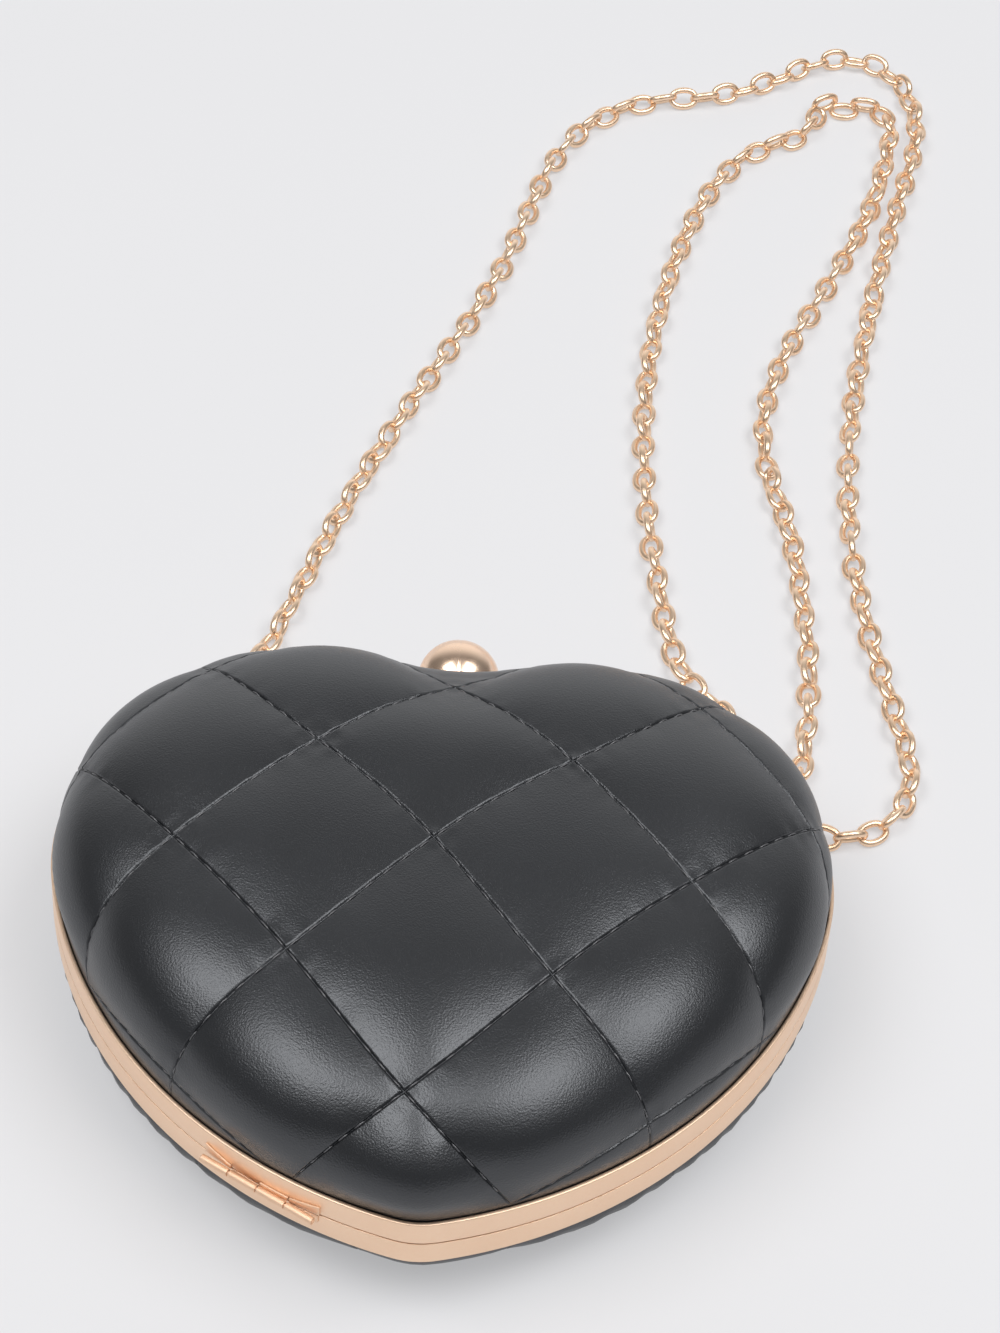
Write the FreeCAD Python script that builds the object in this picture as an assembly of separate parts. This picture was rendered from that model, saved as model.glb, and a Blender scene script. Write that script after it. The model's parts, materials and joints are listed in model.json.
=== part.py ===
"""Heart shaped clutch: two quilted half shells in a metal frame, a hinge, a ball clasp and a chain strap.

The clutch lies on its back with the point of the heart towards -Y and the cleft towards +Y.
The origin is in the middle of the flat on the back cover, where the clutch rests. Millimetres.
"""
import FreeCAD, Part
import math
import os

from FreeCAD import Vector

# Heart outline of the frame: two lobes, two sides, a point and a cleft, all arcs
LOBE_RADIUS = 53.0
LOBE_X = 32.0
LOBE_Y = 17.5
TIP_RADIUS = 18.2
TIP_Y = -58.0
SIDE_RADIUS = 108.0
CLEFT_RADIUS = 28.5

# Dome of each half, measured from the free edge of its frame
DOME_Y = 3.0
DOME_SECTIONS = 11
FRONT_HEIGHT = 28.4
FRONT_SHOULDER = 3.55
FRONT_ROUNDNESS = 2.55
FRONT_FLAT_DEPTH = 0.3
BACK_HEIGHT = 18.0
BACK_SHOULDER = 2.2
BACK_ROUNDNESS = 2.0
BACK_FLAT_DEPTH = 0.8

# Frame: a channel that grips the edges of the layers
BAND_HEIGHT = 6.35
SEAM_GAP = 0.3
FRAME_WALL = 1.0
FRAME_WEB = 1.0
FRAME_INNER_WALL = 0.8

# Layers of each half, from the outside in
COVER_THICKNESS = 1.0
PADDING_RIM = 1.2
PADDING_CROWN = 3.0
SHELL_THICKNESS = 1.5
LINING_THICKNESS = 0.6
LAYER_GAP = 0.1

# Quilting of the front cover: diamonds sewn flat and pulled over the dome
QUILT_PITCH = 38.67
QUILT_X = -1.87
QUILT_TOP = 104.6
QUILT_TURN = -2.04
PULL_REACH = 4.2
PULL_MIDDLE = 5.0
PULL_LENGTH = 115.0
PULL_WIDTH = 35.0
QUILT_ROWS = 32
QUILT_COLUMNS = 144
QUILT_CROWN = 0.03
PILLOW_HEIGHT = 1.7
PILLOW_POWER = 3.0
PILLOW_FADE = 5.0
SEAM_SINK = 0.3
PROFILE_STEPS = 120

# Barrel hinge on the left side, near the point
HINGE_ANGLE = 240.0
KNUCKLE_COUNT = 4
KNUCKLE_LENGTH = 7.0
KNUCKLE_GAP = 0.15
KNUCKLE_RADIUS = 1.1
HINGE_PIN_RADIUS = 0.5
HINGE_BORE_GAP = 0.05
HINGE_FACE_GAP = 0.1
LEAF_HEIGHT = 3.2
LEAF_THICKNESS = 0.5
SEAT_GAP = 0.03

# Ball clasp in the cleft
BALL_RADIUS = 9.4
BALL_GAP = 3.6
BALL_BORE_DEPTH = 5.0
CLASP_RISE = 1.9
CLASP_PIN_RADIUS = 0.6
CLASP_PIN_REACH = 1.9
EAR_RADIUS = 1.5
EAR_THICKNESS = 1.2
EAR_SPACING = 8.4
BRACKET_WIDTH = 12.4
BRACKET_PLATE = 1.0
BRACKET_TOP = 6.2
BRACKET_PLATE_HEIGHT = 2.5
HUB_RADIUS = 1.35
HUB_LENGTH = 6.0
HUB_END_GAP = 0.15
STEM_RADIUS = 1.5
ARM_WIDTH = 3.6
ARM_THICKNESS = 1.2
ARM_GAP = 0.3
HOOK_DEPTH = 6.3
HOOK_HEIGHT = 1.3
HOOK_BITE = 0.7
HOOK_GAP = 0.3
CATCH_WIDTH = 10.0
CATCH_THICKNESS = 1.0
CATCH_HEIGHT = 2.4
FIT_GAP = 0.05
SPRING_RADIUS = 1.25
SPRING_BORE_GAP = 0.2
RIVET_RADIUS = 0.6
RIVET_HEAD_RADIUS = 1.1
RIVET_HEAD = 0.5
RIVET_INSET = 1.6

# Strap eyes on the lobes and the rings through them
EYE_ANGLE = 62.0
EYE_RING_RADIUS = 2.3
EYE_WIRE_RADIUS = 0.75
EYE_NECK = 0.5
EYE_STUD_RADIUS = 1.0
STRAP_RING_RADIUS = 3.6
STRAP_RING_WIRE = 0.7
STRAP_RING_DROP = 57.0
RING_PLAY = 0.1

# Chain strap: its envelope and its route over the table, chosen by eye
CHAIN_WIDTH = 5.6
CHAIN_START_GAP = 0.3
TABLE_Z = CHAIN_WIDTH / 2
ARC_SHARE = 0.45
CHAIN_ROUTE = [
    (-62.4, 75.6, 7.4), (-62.0, 80.5, 4.0), (-57.4, 86.3, TABLE_Z), (-51.5, 94.1, TABLE_Z),
    (-46.1, 105.0, TABLE_Z), (-40.7, 125.2, TABLE_Z), (-31.3, 157.6, TABLE_Z), (-16.6, 197.0, TABLE_Z),
    (0.2, 238.4, TABLE_Z), (8.5, 270.9, TABLE_Z), (13.5, 292.5, TABLE_Z), (23.3, 310.8, TABLE_Z),
    (39.6, 323.1, TABLE_Z), (57.3, 324.5, TABLE_Z), (73.5, 333.4, TABLE_Z), (87.8, 344.7, TABLE_Z),
    (100.6, 347.2, TABLE_Z), (110.4, 337.3, TABLE_Z), (114.4, 323.1, TABLE_Z), (113.4, 306.3, TABLE_Z),
    (108.0, 283.7, TABLE_Z), (100.6, 245.3, TABLE_Z), (94.7, 205.9, TABLE_Z), (92.7, 171.4, TABLE_Z),
    (94.2, 142.9, TABLE_Z), (98.1, 119.2, TABLE_Z), (103.1, 97.6, TABLE_Z), (107.0, 80.8, TABLE_Z),
    (105.5, 68.5, TABLE_Z), (99.1, 60.7, TABLE_Z), (90.3, 56.2, TABLE_Z), (82.4, 58.2, TABLE_Z),
    (79.4, 67.1, TABLE_Z), (81.9, 83.8, TABLE_Z), (83.4, 107.4, TABLE_Z), (81.4, 133.0, TABLE_Z),
    (78.9, 154.7, TABLE_Z), (73.0, 176.4, TABLE_Z), (71.1, 195.1, TABLE_Z), (76.5, 219.7, TABLE_Z),
    (89.3, 250.2, TABLE_Z), (100.1, 277.8, TABLE_Z), (105.0, 301.4, TABLE_Z), (107.0, 317.2, TABLE_Z),
    (104.5, 327.5, TABLE_Z), (95.7, 330.0, TABLE_Z), (87.3, 326.5, TABLE_Z), (81.9, 317.6, TABLE_Z),
    (76.5, 309.3, TABLE_Z), (65.6, 300.4, TABLE_Z), (56.8, 284.7, TABLE_Z), (49.4, 261.0, TABLE_Z),
    (43.0, 228.5, TABLE_Z), (41.0, 194.1, TABLE_Z), (42.5, 161.6, TABLE_Z), (46.4, 133.0, TABLE_Z),
    (49.9, 112.4, TABLE_Z), (55.3, 101.0, TABLE_Z), (62.7, 94.1, TABLE_Z), (65.2, 85.3, TABLE_Z),
    (64.5, 80.5, 4.0), (62.6, 75.8, 7.5),
]

UP = Vector(0, 0, 1)
ORIGIN = Vector(0, 0, 0)

# Heights and widths that follow from the sizes above
BACK_EDGE_Z = BACK_HEIGHT - BACK_FLAT_DEPTH
SEAM_Z = BACK_EDGE_Z + BAND_HEIGHT + SEAM_GAP / 2
FRONT_EDGE_Z = SEAM_Z + SEAM_GAP / 2 + BAND_HEIGHT
FRONT_FORM = (FRONT_SHOULDER, FRONT_ROUNDNESS, FRONT_FLAT_DEPTH)
BACK_FORM = (BACK_SHOULDER, BACK_ROUNDNESS, BACK_FLAT_DEPTH)
LAYERS = [
    ("cover", COVER_THICKNESS, COVER_THICKNESS),
    ("padding", PADDING_RIM, PADDING_CROWN),
    ("shell", SHELL_THICKNESS, SHELL_THICKNESS),
    ("lining", LINING_THICKNESS, LINING_THICKNESS),
]
CHANNEL_WIDTH = sum(rim for name, rim, crown in LAYERS) + LAYER_GAP * (len(LAYERS) + 1)
FRAME_WIDTH = FRAME_WALL + CHANNEL_WIDTH + FRAME_INNER_WALL
LAYER_DEPTH = BAND_HEIGHT - FRAME_WEB - LAYER_GAP
COVER_INSET = FRAME_WALL + LAYER_GAP

nodes = {}


def arc_centres():
    """Centres of the right lobe, the right side, the point and the cleft."""
    lobe = Vector(LOBE_X, LOBE_Y, 0)
    tip = Vector(0, TIP_Y, 0)
    span = lobe.sub(tip).Length
    to_lobe = SIDE_RADIUS - LOBE_RADIUS
    to_tip = SIDE_RADIUS - TIP_RADIUS
    corner = math.acos((to_tip**2 + span**2 - to_lobe**2) / (2 * to_tip * span))
    heading = math.atan2(lobe.y - tip.y, lobe.x - tip.x) + corner
    side = tip + Vector(math.cos(heading), math.sin(heading), 0) * to_tip
    cleft = Vector(0, LOBE_Y + math.sqrt((LOBE_RADIUS + CLEFT_RADIUS) ** 2 - LOBE_X**2), 0)
    return lobe, side, tip, cleft


LOBE, SIDE, TIP, CLEFT = arc_centres()
CLEFT_FACE_Y = CLEFT.y - CLEFT_RADIUS


def toward(start, end, distance):
    """The point at a distance from start on the line to end."""
    return start + (end - start).normalize() * distance


def mirrored(point):
    return Vector(-point.x, point.y, point.z)


def heart_wire(inset, z, scale=1.0):
    """The heart outline drawn in by inset, then scaled about the middle of the dome."""
    cleft_end = toward(CLEFT, LOBE, CLEFT_RADIUS + inset)
    lobe_end = toward(SIDE, LOBE, SIDE_RADIUS - inset)
    side_end = toward(SIDE, TIP, SIDE_RADIUS - inset)
    lobe_middle = toward(LOBE, cleft_end + lobe_end - LOBE, LOBE_RADIUS - inset)
    side_middle = toward(SIDE, lobe_end + side_end - SIDE, SIDE_RADIUS - inset)
    tip_middle = TIP - Vector(0, TIP_RADIUS - inset, 0)
    cleft_middle = CLEFT - Vector(0, CLEFT_RADIUS + inset, 0)
    arcs = [
        (cleft_end, lobe_middle, lobe_end),
        (lobe_end, side_middle, side_end),
        (side_end, tip_middle, mirrored(side_end)),
        (mirrored(side_end), mirrored(side_middle), mirrored(lobe_end)),
        (mirrored(lobe_end), mirrored(lobe_middle), mirrored(cleft_end)),
        (mirrored(cleft_end), cleft_middle, cleft_end),
    ]
    middle = Vector(0, DOME_Y, 0)
    lift = Vector(0, 0, z)
    edges = []
    for arc in arcs:
        ends = [middle + (point - middle) * scale + lift for point in arc]
        edges.append(Part.Arc(*ends).toShape())
    return Part.Wire(edges)


def heart_prism(inset, low, high):
    """A straight heart shaped block between two heights."""
    return Part.Face(heart_wire(inset, low)).extrude(UP * (high - low))


def dome(inset, height, form, root_z):
    """A heart shaped dome on a straight root, with a flat on its crown.

    Section by section the outline shrinks by cos(t)^(2/shoulder) and rises by sin(t)^(2/roundness).
    """
    shoulder, roundness, flat_depth = form
    last = math.asin((1 - flat_depth / height) ** (roundness / 2))
    wires = [heart_wire(inset, root_z)]
    for step in range(DOME_SECTIONS):
        turn = last * step / (DOME_SECTIONS - 1)
        scale = math.cos(turn) ** (2 / shoulder)
        rise = height * math.sin(turn) ** (2 / roundness)
        wires.append(heart_wire(inset, rise, scale))
    return Part.makeLoft(wires, True, True)


def sewn_at(x, y):
    """Where a flat point lay when it was sewn: along the middle line the leather is pulled in a long wave."""
    reach = PULL_REACH * math.exp(-((x / PULL_WIDTH) ** 2))
    sewn = y
    for _ in range(6):
        sewn = y - reach * math.cos(2 * math.pi * (sewn - PULL_MIDDLE) / PULL_LENGTH)
    return sewn


def pillow(x, y):
    """Height of the quilting at a flat point of the cover: each diamond swells between its four seams."""
    place = FreeCAD.Rotation(UP, -QUILT_TURN).multVec(Vector(x - QUILT_X, sewn_at(x, y), 0))
    down = QUILT_TOP - place.y
    swell = 1.0
    for count in (down + place.x, down - place.x):
        share = count / (math.sqrt(2) * QUILT_PITCH)
        swell *= 1 - abs(2 * (share - math.floor(share)) - 1) ** PILLOW_POWER
    return PILLOW_HEIGHT * swell - SEAM_SINK


def quilted_column(outline, turn):
    """Points of the quilted front cover along one heading, from the crown to the rim and straight down.

    A point keeps its distance along the surface from the crown, so that the diamonds stay as long as sewn.
    """
    middle = Vector(0, DOME_Y, 0)
    ray = Vector(math.cos(turn), math.sin(turn), 0)
    reach = outline.common(Part.makeLine(middle, middle + ray * (2 * SIDE_RADIUS))).Length
    profile = []
    walked = [0.0]
    for step in range(PROFILE_STEPS + 1):
        lean = math.pi / 2 * step / PROFILE_STEPS
        share = math.sin(lean) ** (2 / FRONT_SHOULDER)
        profile.append((share * reach, FRONT_HEIGHT * math.cos(lean) ** (2 / FRONT_ROUNDNESS)))
    for (across, rise), (next_across, next_rise) in zip(profile, profile[1:]):
        walked.append(walked[-1] + math.hypot(next_across - across, next_rise - rise))
    points = []
    step = 0
    for row in range(QUILT_ROWS + 1):
        far = walked[-1] * (QUILT_CROWN + (1 - QUILT_CROWN) * row / QUILT_ROWS)
        while step < PROFILE_STEPS - 1 and walked[step + 1] < far:
            step += 1
        leg = walked[step + 1] - walked[step]
        part = (far - walked[step]) / leg
        run = profile[step + 1][0] - profile[step][0]
        fall = profile[step][1] - profile[step + 1][1]
        fade = 1 - math.exp(-(((walked[-1] - far) / PILLOW_FADE) ** 2))
        lift = fade * pillow(ray.x * far, ray.y * far) / leg
        across = profile[step][0] + part * run + lift * fall
        points.append(middle + ray * across + UP * (profile[step][1] - part * fall + lift * run))
    points[0].z = FRONT_HEIGHT
    return points + [middle + ray * reach - UP * LAYER_DEPTH * share for share in (0.5, 1.0)]


def quilted_dome():
    """The outside of the front cover: one smooth surface round the crown, closed above and below."""
    outline = Part.Face(heart_wire(COVER_INSET, 0))
    columns = []
    for column in range(QUILT_COLUMNS):
        columns.append(quilted_column(outline, math.pi * (0.5 + 2 * column / QUILT_COLUMNS)))
    rows = len(columns[0])
    surface = Part.BSplineSurface()
    surface.buildFromPolesMultsKnots(
        columns,
        [1] * (QUILT_COLUMNS + 1),
        [4] + [1] * (rows - 4) + [4],
        list(range(QUILT_COLUMNS + 1)),
        list(range(rows - 2)),
        True,
        False,
        3,
        3,
    )
    skin = surface.toShape()
    rings = [edge for edge in skin.Edges if edge.isClosed()]
    caps = [Part.Face(Part.Wire(ring)) for ring in rings]
    shell = Part.makeShell([skin] + caps)
    shell.sewShape()
    return Part.makeSolid(shell)


def half_layers(height, form, skin):
    """The cover, padding, shell and lining of one half, nested with a small gap; the skin is the cover's outside."""
    layers = {}
    inset = COVER_INSET
    for name, rim, crown in LAYERS:
        outside = dome(inset, height, form, -LAYER_DEPTH) if layers else skin
        inside = dome(inset + rim, height - crown, form, -BAND_HEIGHT)
        layers[name] = outside.cut(inside)
        inset += rim + LAYER_GAP
        height -= crown + LAYER_GAP
    return layers


def frame_band():
    """One half of the frame: a heart shaped channel, open towards the dome."""
    band = heart_prism(0, -BAND_HEIGHT, 0).cut(heart_prism(FRAME_WIDTH, -BAND_HEIGHT, 0))
    floor = -BAND_HEIGHT + FRAME_WEB
    channel = heart_prism(FRAME_WALL, floor, 0).cut(heart_prism(FRAME_WALL + CHANNEL_WIDTH, floor, 0))
    return band.cut(channel)


def as_front(shape):
    return shape.translated(Vector(0, 0, FRONT_EDGE_Z))


def as_back(shape):
    turned = shape.copy()
    turned.rotate(ORIGIN, Vector(0, 1, 0), 180)
    return turned.translated(Vector(0, 0, BACK_EDGE_Z))


def box(x, y, z):
    """A block from its low and high X, Y and Z."""
    corner = Vector(x[0], y[0], z[0])
    return Part.makeBox(x[1] - x[0], y[1] - y[0], z[1] - z[0], corner)


def rod(radius, start, end):
    way = end - start
    return Part.makeCylinder(radius, way.Length, start, way)


# The two halves: layers and frame
plain_dome = dome(COVER_INSET, BACK_HEIGHT, BACK_FORM, -LAYER_DEPTH)
for layer, shape in half_layers(BACK_HEIGHT, BACK_FORM, plain_dome).items():
    nodes["back_" + layer] = as_back(shape)
for layer, shape in half_layers(FRONT_HEIGHT, FRONT_FORM, quilted_dome()).items():
    nodes["front_" + layer] = as_front(shape)
back_frame = as_back(frame_band())
front_frame = as_front(frame_band())
frame_outside = heart_prism(-SEAT_GAP, 0, FRONT_EDGE_Z + FRONT_HEIGHT)

# Hinge: its axis runs along the left side at the height of the seam
hinge_turn = math.radians(HINGE_ANGLE)
hinge_out = Vector(math.cos(hinge_turn), math.sin(hinge_turn), 0)
hinge_along = Vector(-math.sin(hinge_turn), math.cos(hinge_turn), 0)
hinge_reach = SIDE_RADIUS + HINGE_FACE_GAP + KNUCKLE_RADIUS
hinge_middle = mirrored(SIDE) + hinge_out * hinge_reach + UP * SEAM_Z
hinge_length = KNUCKLE_COUNT * KNUCKLE_LENGTH
hinge_start = hinge_middle - hinge_along * (hinge_length / 2)


def leaf(start, length, side):
    """A small plate that joins a knuckle to the frame's face, above (1) or below (-1) the seam."""
    end_sag = hinge_length**2 / (8 * SIDE_RADIUS)
    inner = KNUCKLE_RADIUS + HINGE_FACE_GAP + end_sag + FRAME_WALL / 2
    outer = KNUCKLE_RADIUS + HINGE_FACE_GAP - LEAF_THICKNESS
    low = start - hinge_out * inner + UP * (side * SEAM_GAP / 2)
    plate = Part.Face(Part.makePolygon([
        low,
        low + hinge_out * (inner - outer),
        low + hinge_out * (inner - outer) + UP * (side * LEAF_HEIGHT),
        low + UP * (side * LEAF_HEIGHT),
        low,
    ]))
    return plate.extrude(hinge_along * length).cut(frame_outside)


def knuckle(index, side):
    """One barrel of the hinge with its leaf and its bore."""
    length = KNUCKLE_LENGTH - KNUCKLE_GAP
    start = hinge_start + hinge_along * (index * KNUCKLE_LENGTH + KNUCKLE_GAP / 2)
    end = start + hinge_along * length
    solid = rod(KNUCKLE_RADIUS, start, end).fuse(leaf(start, length, side))
    return solid.cut(rod(HINGE_PIN_RADIUS + HINGE_BORE_GAP, start, end)).removeSplitter()


nodes["front_knuckles"] = Part.makeCompound([knuckle(i, 1) for i in range(0, KNUCKLE_COUNT, 2)])
nodes["back_knuckles"] = Part.makeCompound([knuckle(i, -1) for i in range(1, KNUCKLE_COUNT, 2)])
nodes["hinge_pin"] = rod(HINGE_PIN_RADIUS, hinge_start, hinge_start + hinge_along * hinge_length)

# Clasp bracket on the front frame: a plate with two ears that carry the pivot pin
pivot_y = CLEFT_FACE_Y + CLASP_PIN_REACH
pivot_z = SEAM_Z + CLASP_RISE
pivot = Vector(0, pivot_y, pivot_z)
bracket_back_y = CLEFT_FACE_Y - FRAME_WALL / 2
bracket_face_y = CLEFT_FACE_Y + BRACKET_PLATE
bracket_top_z = SEAM_Z + BRACKET_TOP
bracket_low_z = bracket_top_z - BRACKET_PLATE_HEIGHT
ear_out_x = EAR_SPACING / 2 + EAR_THICKNESS

bracket = box(
    (-BRACKET_WIDTH / 2, BRACKET_WIDTH / 2),
    (bracket_back_y, bracket_face_y),
    (bracket_low_z, bracket_top_z),
)
for side in (-1, 1):
    ear_x = sorted((side * EAR_SPACING / 2, side * ear_out_x))
    start = Vector(ear_x[0], pivot_y, pivot_z)
    end = Vector(ear_x[1], pivot_y, pivot_z)
    arm = box(ear_x, (bracket_back_y, pivot_y), (pivot_z - EAR_RADIUS, bracket_top_z))
    bracket = bracket.fuse(arm).fuse(rod(EAR_RADIUS, start, end))
    bracket = bracket.cut(rod(CLASP_PIN_RADIUS + FIT_GAP, start, end))
bracket = bracket.cut(frame_outside).removeSplitter()
pin_end = Vector(ear_out_x, 0, 0)
nodes["clasp_pin"] = rod(CLASP_PIN_RADIUS, pivot - pin_end, pivot + pin_end)

# Catch on the back frame: a ledge that the hook of the lever reaches under
catch_low_z = SEAM_Z - SEAM_GAP / 2 - CATCH_HEIGHT
catch_face_y = CLEFT_FACE_Y + CATCH_THICKNESS
catch = box(
    (-CATCH_WIDTH / 2, CATCH_WIDTH / 2),
    (bracket_back_y, catch_face_y),
    (catch_low_z, catch_low_z + CATCH_HEIGHT),
).cut(frame_outside)


def rivet(x, z, face_y):
    """A rivet along Y: its head on the plate's face, its shank through the plate and the frame's wall."""
    wall_y = CLEFT.y - math.sqrt((CLEFT_RADIUS + FRAME_WALL) ** 2 - x**2)
    shank = rod(RIVET_RADIUS, Vector(x, wall_y, z), Vector(x, face_y, z))
    head = rod(RIVET_HEAD_RADIUS, Vector(x, face_y, z), Vector(x, face_y + RIVET_HEAD, z))
    return shank.fuse(head).removeSplitter()


def rivet_hole(x, z, face_y):
    start = Vector(x, CLEFT_FACE_Y - FRAME_WIDTH / 2, z)
    return rod(RIVET_RADIUS + FIT_GAP, start, Vector(x, face_y + RIVET_HEAD, z))


catch_rivet_z = catch_low_z + CATCH_HEIGHT / 2
bracket_rivet_z = (bracket_low_z + bracket_top_z) / 2
catch_rivets = []
bracket_rivets = []
for side in (-1, 1):
    catch_x = side * (CATCH_WIDTH / 2 - RIVET_INSET)
    bracket_x = side * (EAR_SPACING / 2 - RIVET_INSET)
    catch_rivets.append(rivet(catch_x, catch_rivet_z, catch_face_y))
    bracket_rivets.append(rivet(bracket_x, bracket_rivet_z, bracket_face_y))
    catch_hole = rivet_hole(catch_x, catch_rivet_z, catch_face_y)
    bracket_hole = rivet_hole(bracket_x, bracket_rivet_z, bracket_face_y)
    catch = catch.cut(catch_hole)
    back_frame = back_frame.cut(catch_hole)
    bracket = bracket.cut(bracket_hole)
    front_frame = front_frame.cut(bracket_hole)
nodes["clasp_bracket"] = bracket
nodes["clasp_catch"] = catch
nodes["bracket_rivets"] = Part.makeCompound(bracket_rivets)
nodes["catch_rivets"] = Part.makeCompound(catch_rivets)

# Clasp lever: a hub on the pin, a stem out to the ball and an arm down to the hook
ball_y = CLEFT_FACE_Y + BALL_GAP + BALL_RADIUS
ball_middle = Vector(0, ball_y, pivot_z)
bore_end_y = ball_y - BALL_RADIUS + BALL_BORE_DEPTH
hub_low_x = -EAR_SPACING / 2 + HUB_END_GAP
hub_start = Vector(hub_low_x, pivot_y, pivot_z)
hub_end = Vector(hub_low_x + HUB_LENGTH, pivot_y, pivot_z)
hub_bore = rod(CLASP_PIN_RADIUS + FIT_GAP, pivot - pin_end, pivot + pin_end)
stem = rod(STEM_RADIUS, pivot, Vector(0, bore_end_y - FIT_GAP, pivot_z))
hook_low_z = pivot_z - HOOK_DEPTH
arm_y = catch_face_y + ARM_GAP
arm = box((-ARM_WIDTH / 2, ARM_WIDTH / 2), (arm_y, arm_y + ARM_THICKNESS), (hook_low_z, pivot_z))
hook_top_z = min(hook_low_z + HOOK_HEIGHT, catch_low_z - HOOK_GAP)
hook = box((-ARM_WIDTH / 2, ARM_WIDTH / 2), (catch_face_y - HOOK_BITE, arm_y), (hook_low_z, hook_top_z))
lever = rod(HUB_RADIUS, hub_start, hub_end).fuse(stem).fuse(arm).fuse(hook)
nodes["clasp_lever"] = lever.cut(hub_bore).removeSplitter()

# Ball, bored for the stem
ball = Part.makeSphere(BALL_RADIUS, ball_middle)
ball_bore = rod(STEM_RADIUS + FIT_GAP, Vector(0, CLEFT_FACE_Y, pivot_z), Vector(0, bore_end_y, pivot_z))
nodes["clasp_ball"] = ball.cut(ball_bore)

# Return spring on the pin, between the hub and the free ear
spring_start = hub_end + Vector(HUB_END_GAP, 0, 0)
spring_end = Vector(EAR_SPACING / 2 - HUB_END_GAP, pivot_y, pivot_z)
spring = rod(SPRING_RADIUS, spring_start, spring_end)
nodes["clasp_spring"] = spring.cut(rod(CLASP_PIN_RADIUS + SPRING_BORE_GAP, spring_start, spring_end))


def strap_end(side):
    """An eye on one lobe, the ring that hangs in it, the hole for its stud and where the chain starts."""
    turn = math.radians(EYE_ANGLE)
    out = Vector(side * math.cos(turn), math.sin(turn), 0)
    along = out.cross(UP)
    lobe = LOBE if side > 0 else mirrored(LOBE)
    face = lobe + out * LOBE_RADIUS + UP * (BACK_EDGE_Z + BAND_HEIGHT / 2)
    middle = face + out * (EYE_NECK + EYE_RING_RADIUS + EYE_WIRE_RADIUS)
    eye = Part.makeTorus(EYE_RING_RADIUS, EYE_WIRE_RADIUS, middle, along)
    eye = eye.fuse(rod(EYE_STUD_RADIUS, face - out * FRAME_WALL, face + out * (EYE_NECK + EYE_WIRE_RADIUS)))
    hole = rod(EYE_STUD_RADIUS + FIT_GAP, face - out * (FRAME_WALL + LAYER_GAP), face + out * EYE_NECK)
    drop = math.radians(STRAP_RING_DROP)
    pull = out * math.cos(drop) - UP * math.sin(drop)
    seat = EYE_RING_RADIUS - EYE_WIRE_RADIUS - STRAP_RING_WIRE - RING_PLAY
    ring_middle = middle + pull * (seat + STRAP_RING_RADIUS)
    ring = Part.makeTorus(STRAP_RING_RADIUS, STRAP_RING_WIRE, ring_middle, along.cross(pull))
    chain_start = ring_middle + pull * (STRAP_RING_RADIUS + STRAP_RING_WIRE + CHAIN_START_GAP)
    return eye.removeSplitter(), ring, hole, chain_start


nodes["strap_eye_left"], nodes["strap_ring_left"], left_hole, chain_first = strap_end(-1)
nodes["strap_eye_right"], nodes["strap_ring_right"], right_hole, chain_last = strap_end(1)
nodes["back_frame"] = back_frame.cut(left_hole).cut(right_hole)
nodes["front_frame"] = front_frame


def rounded_path(points):
    """Straight runs joined by tangent arcs, each as large as its two runs allow."""
    edges = []
    radii = []
    last = points[0]
    for before, corner, after in zip(points, points[1:], points[2:]):
        arrive = (corner - before).normalize()
        leave = (after - corner).normalize()
        half_turn = arrive.getAngle(leave) / 2
        cut = ARC_SHARE * min((corner - before).Length, (after - corner).Length)
        radius = cut / math.tan(half_turn)
        inward = (leave - arrive).normalize()
        start = corner - arrive * cut
        middle = corner + inward * (radius * (1 / math.cos(half_turn) - 1))
        end = corner + leave * cut
        edges.append(Part.LineSegment(last, start).toShape())
        edges.append(Part.Arc(start, middle, end).toShape())
        radii.append(radius)
        last = end
    edges.append(Part.LineSegment(last, points[-1]).toShape())
    return Part.Wire(edges), radii


# Chain strap as one tube of the chain's width
route = [chain_first] + [Vector(*point) for point in CHAIN_ROUTE] + [chain_last]
path, bend_radii = rounded_path(route)
section = Part.Wire(Part.makeCircle(CHAIN_WIDTH / 2, route[0], route[1] - route[0]))
chain = path.makePipeShell([section], True, False)
nodes["strap_chain"] = chain

os.makedirs("parts", exist_ok=True)
for name, shape in nodes.items():
    shape.exportStep("parts/" + name + ".step")
    print(name, "solids", len(shape.Solids), "volume", round(shape.Volume, 1), "valid", shape.isValid())
print("chain length", round(path.Length, 1))
section_area = math.pi * CHAIN_WIDTH**2 / 4
print("chain volume over section times length", round(chain.Volume / (section_area * path.Length), 4))
print("bend radii", [round(radius, 1) for radius in bend_radii])
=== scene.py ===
# %% [markdown]
# # A heart shaped clutch
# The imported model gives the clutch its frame: every solid in its place, in metres. This lesson dresses it.
# Hard pieces whose shape is right keep their solid and get a finish. The leather, the thread, the lining,
# the metal bands, the hinge, the ball and the chain are new surfaces that stand where their solids stand.

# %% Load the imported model
import json
import math

import bpy
import numpy as np
from mathutils import Matrix


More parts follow.
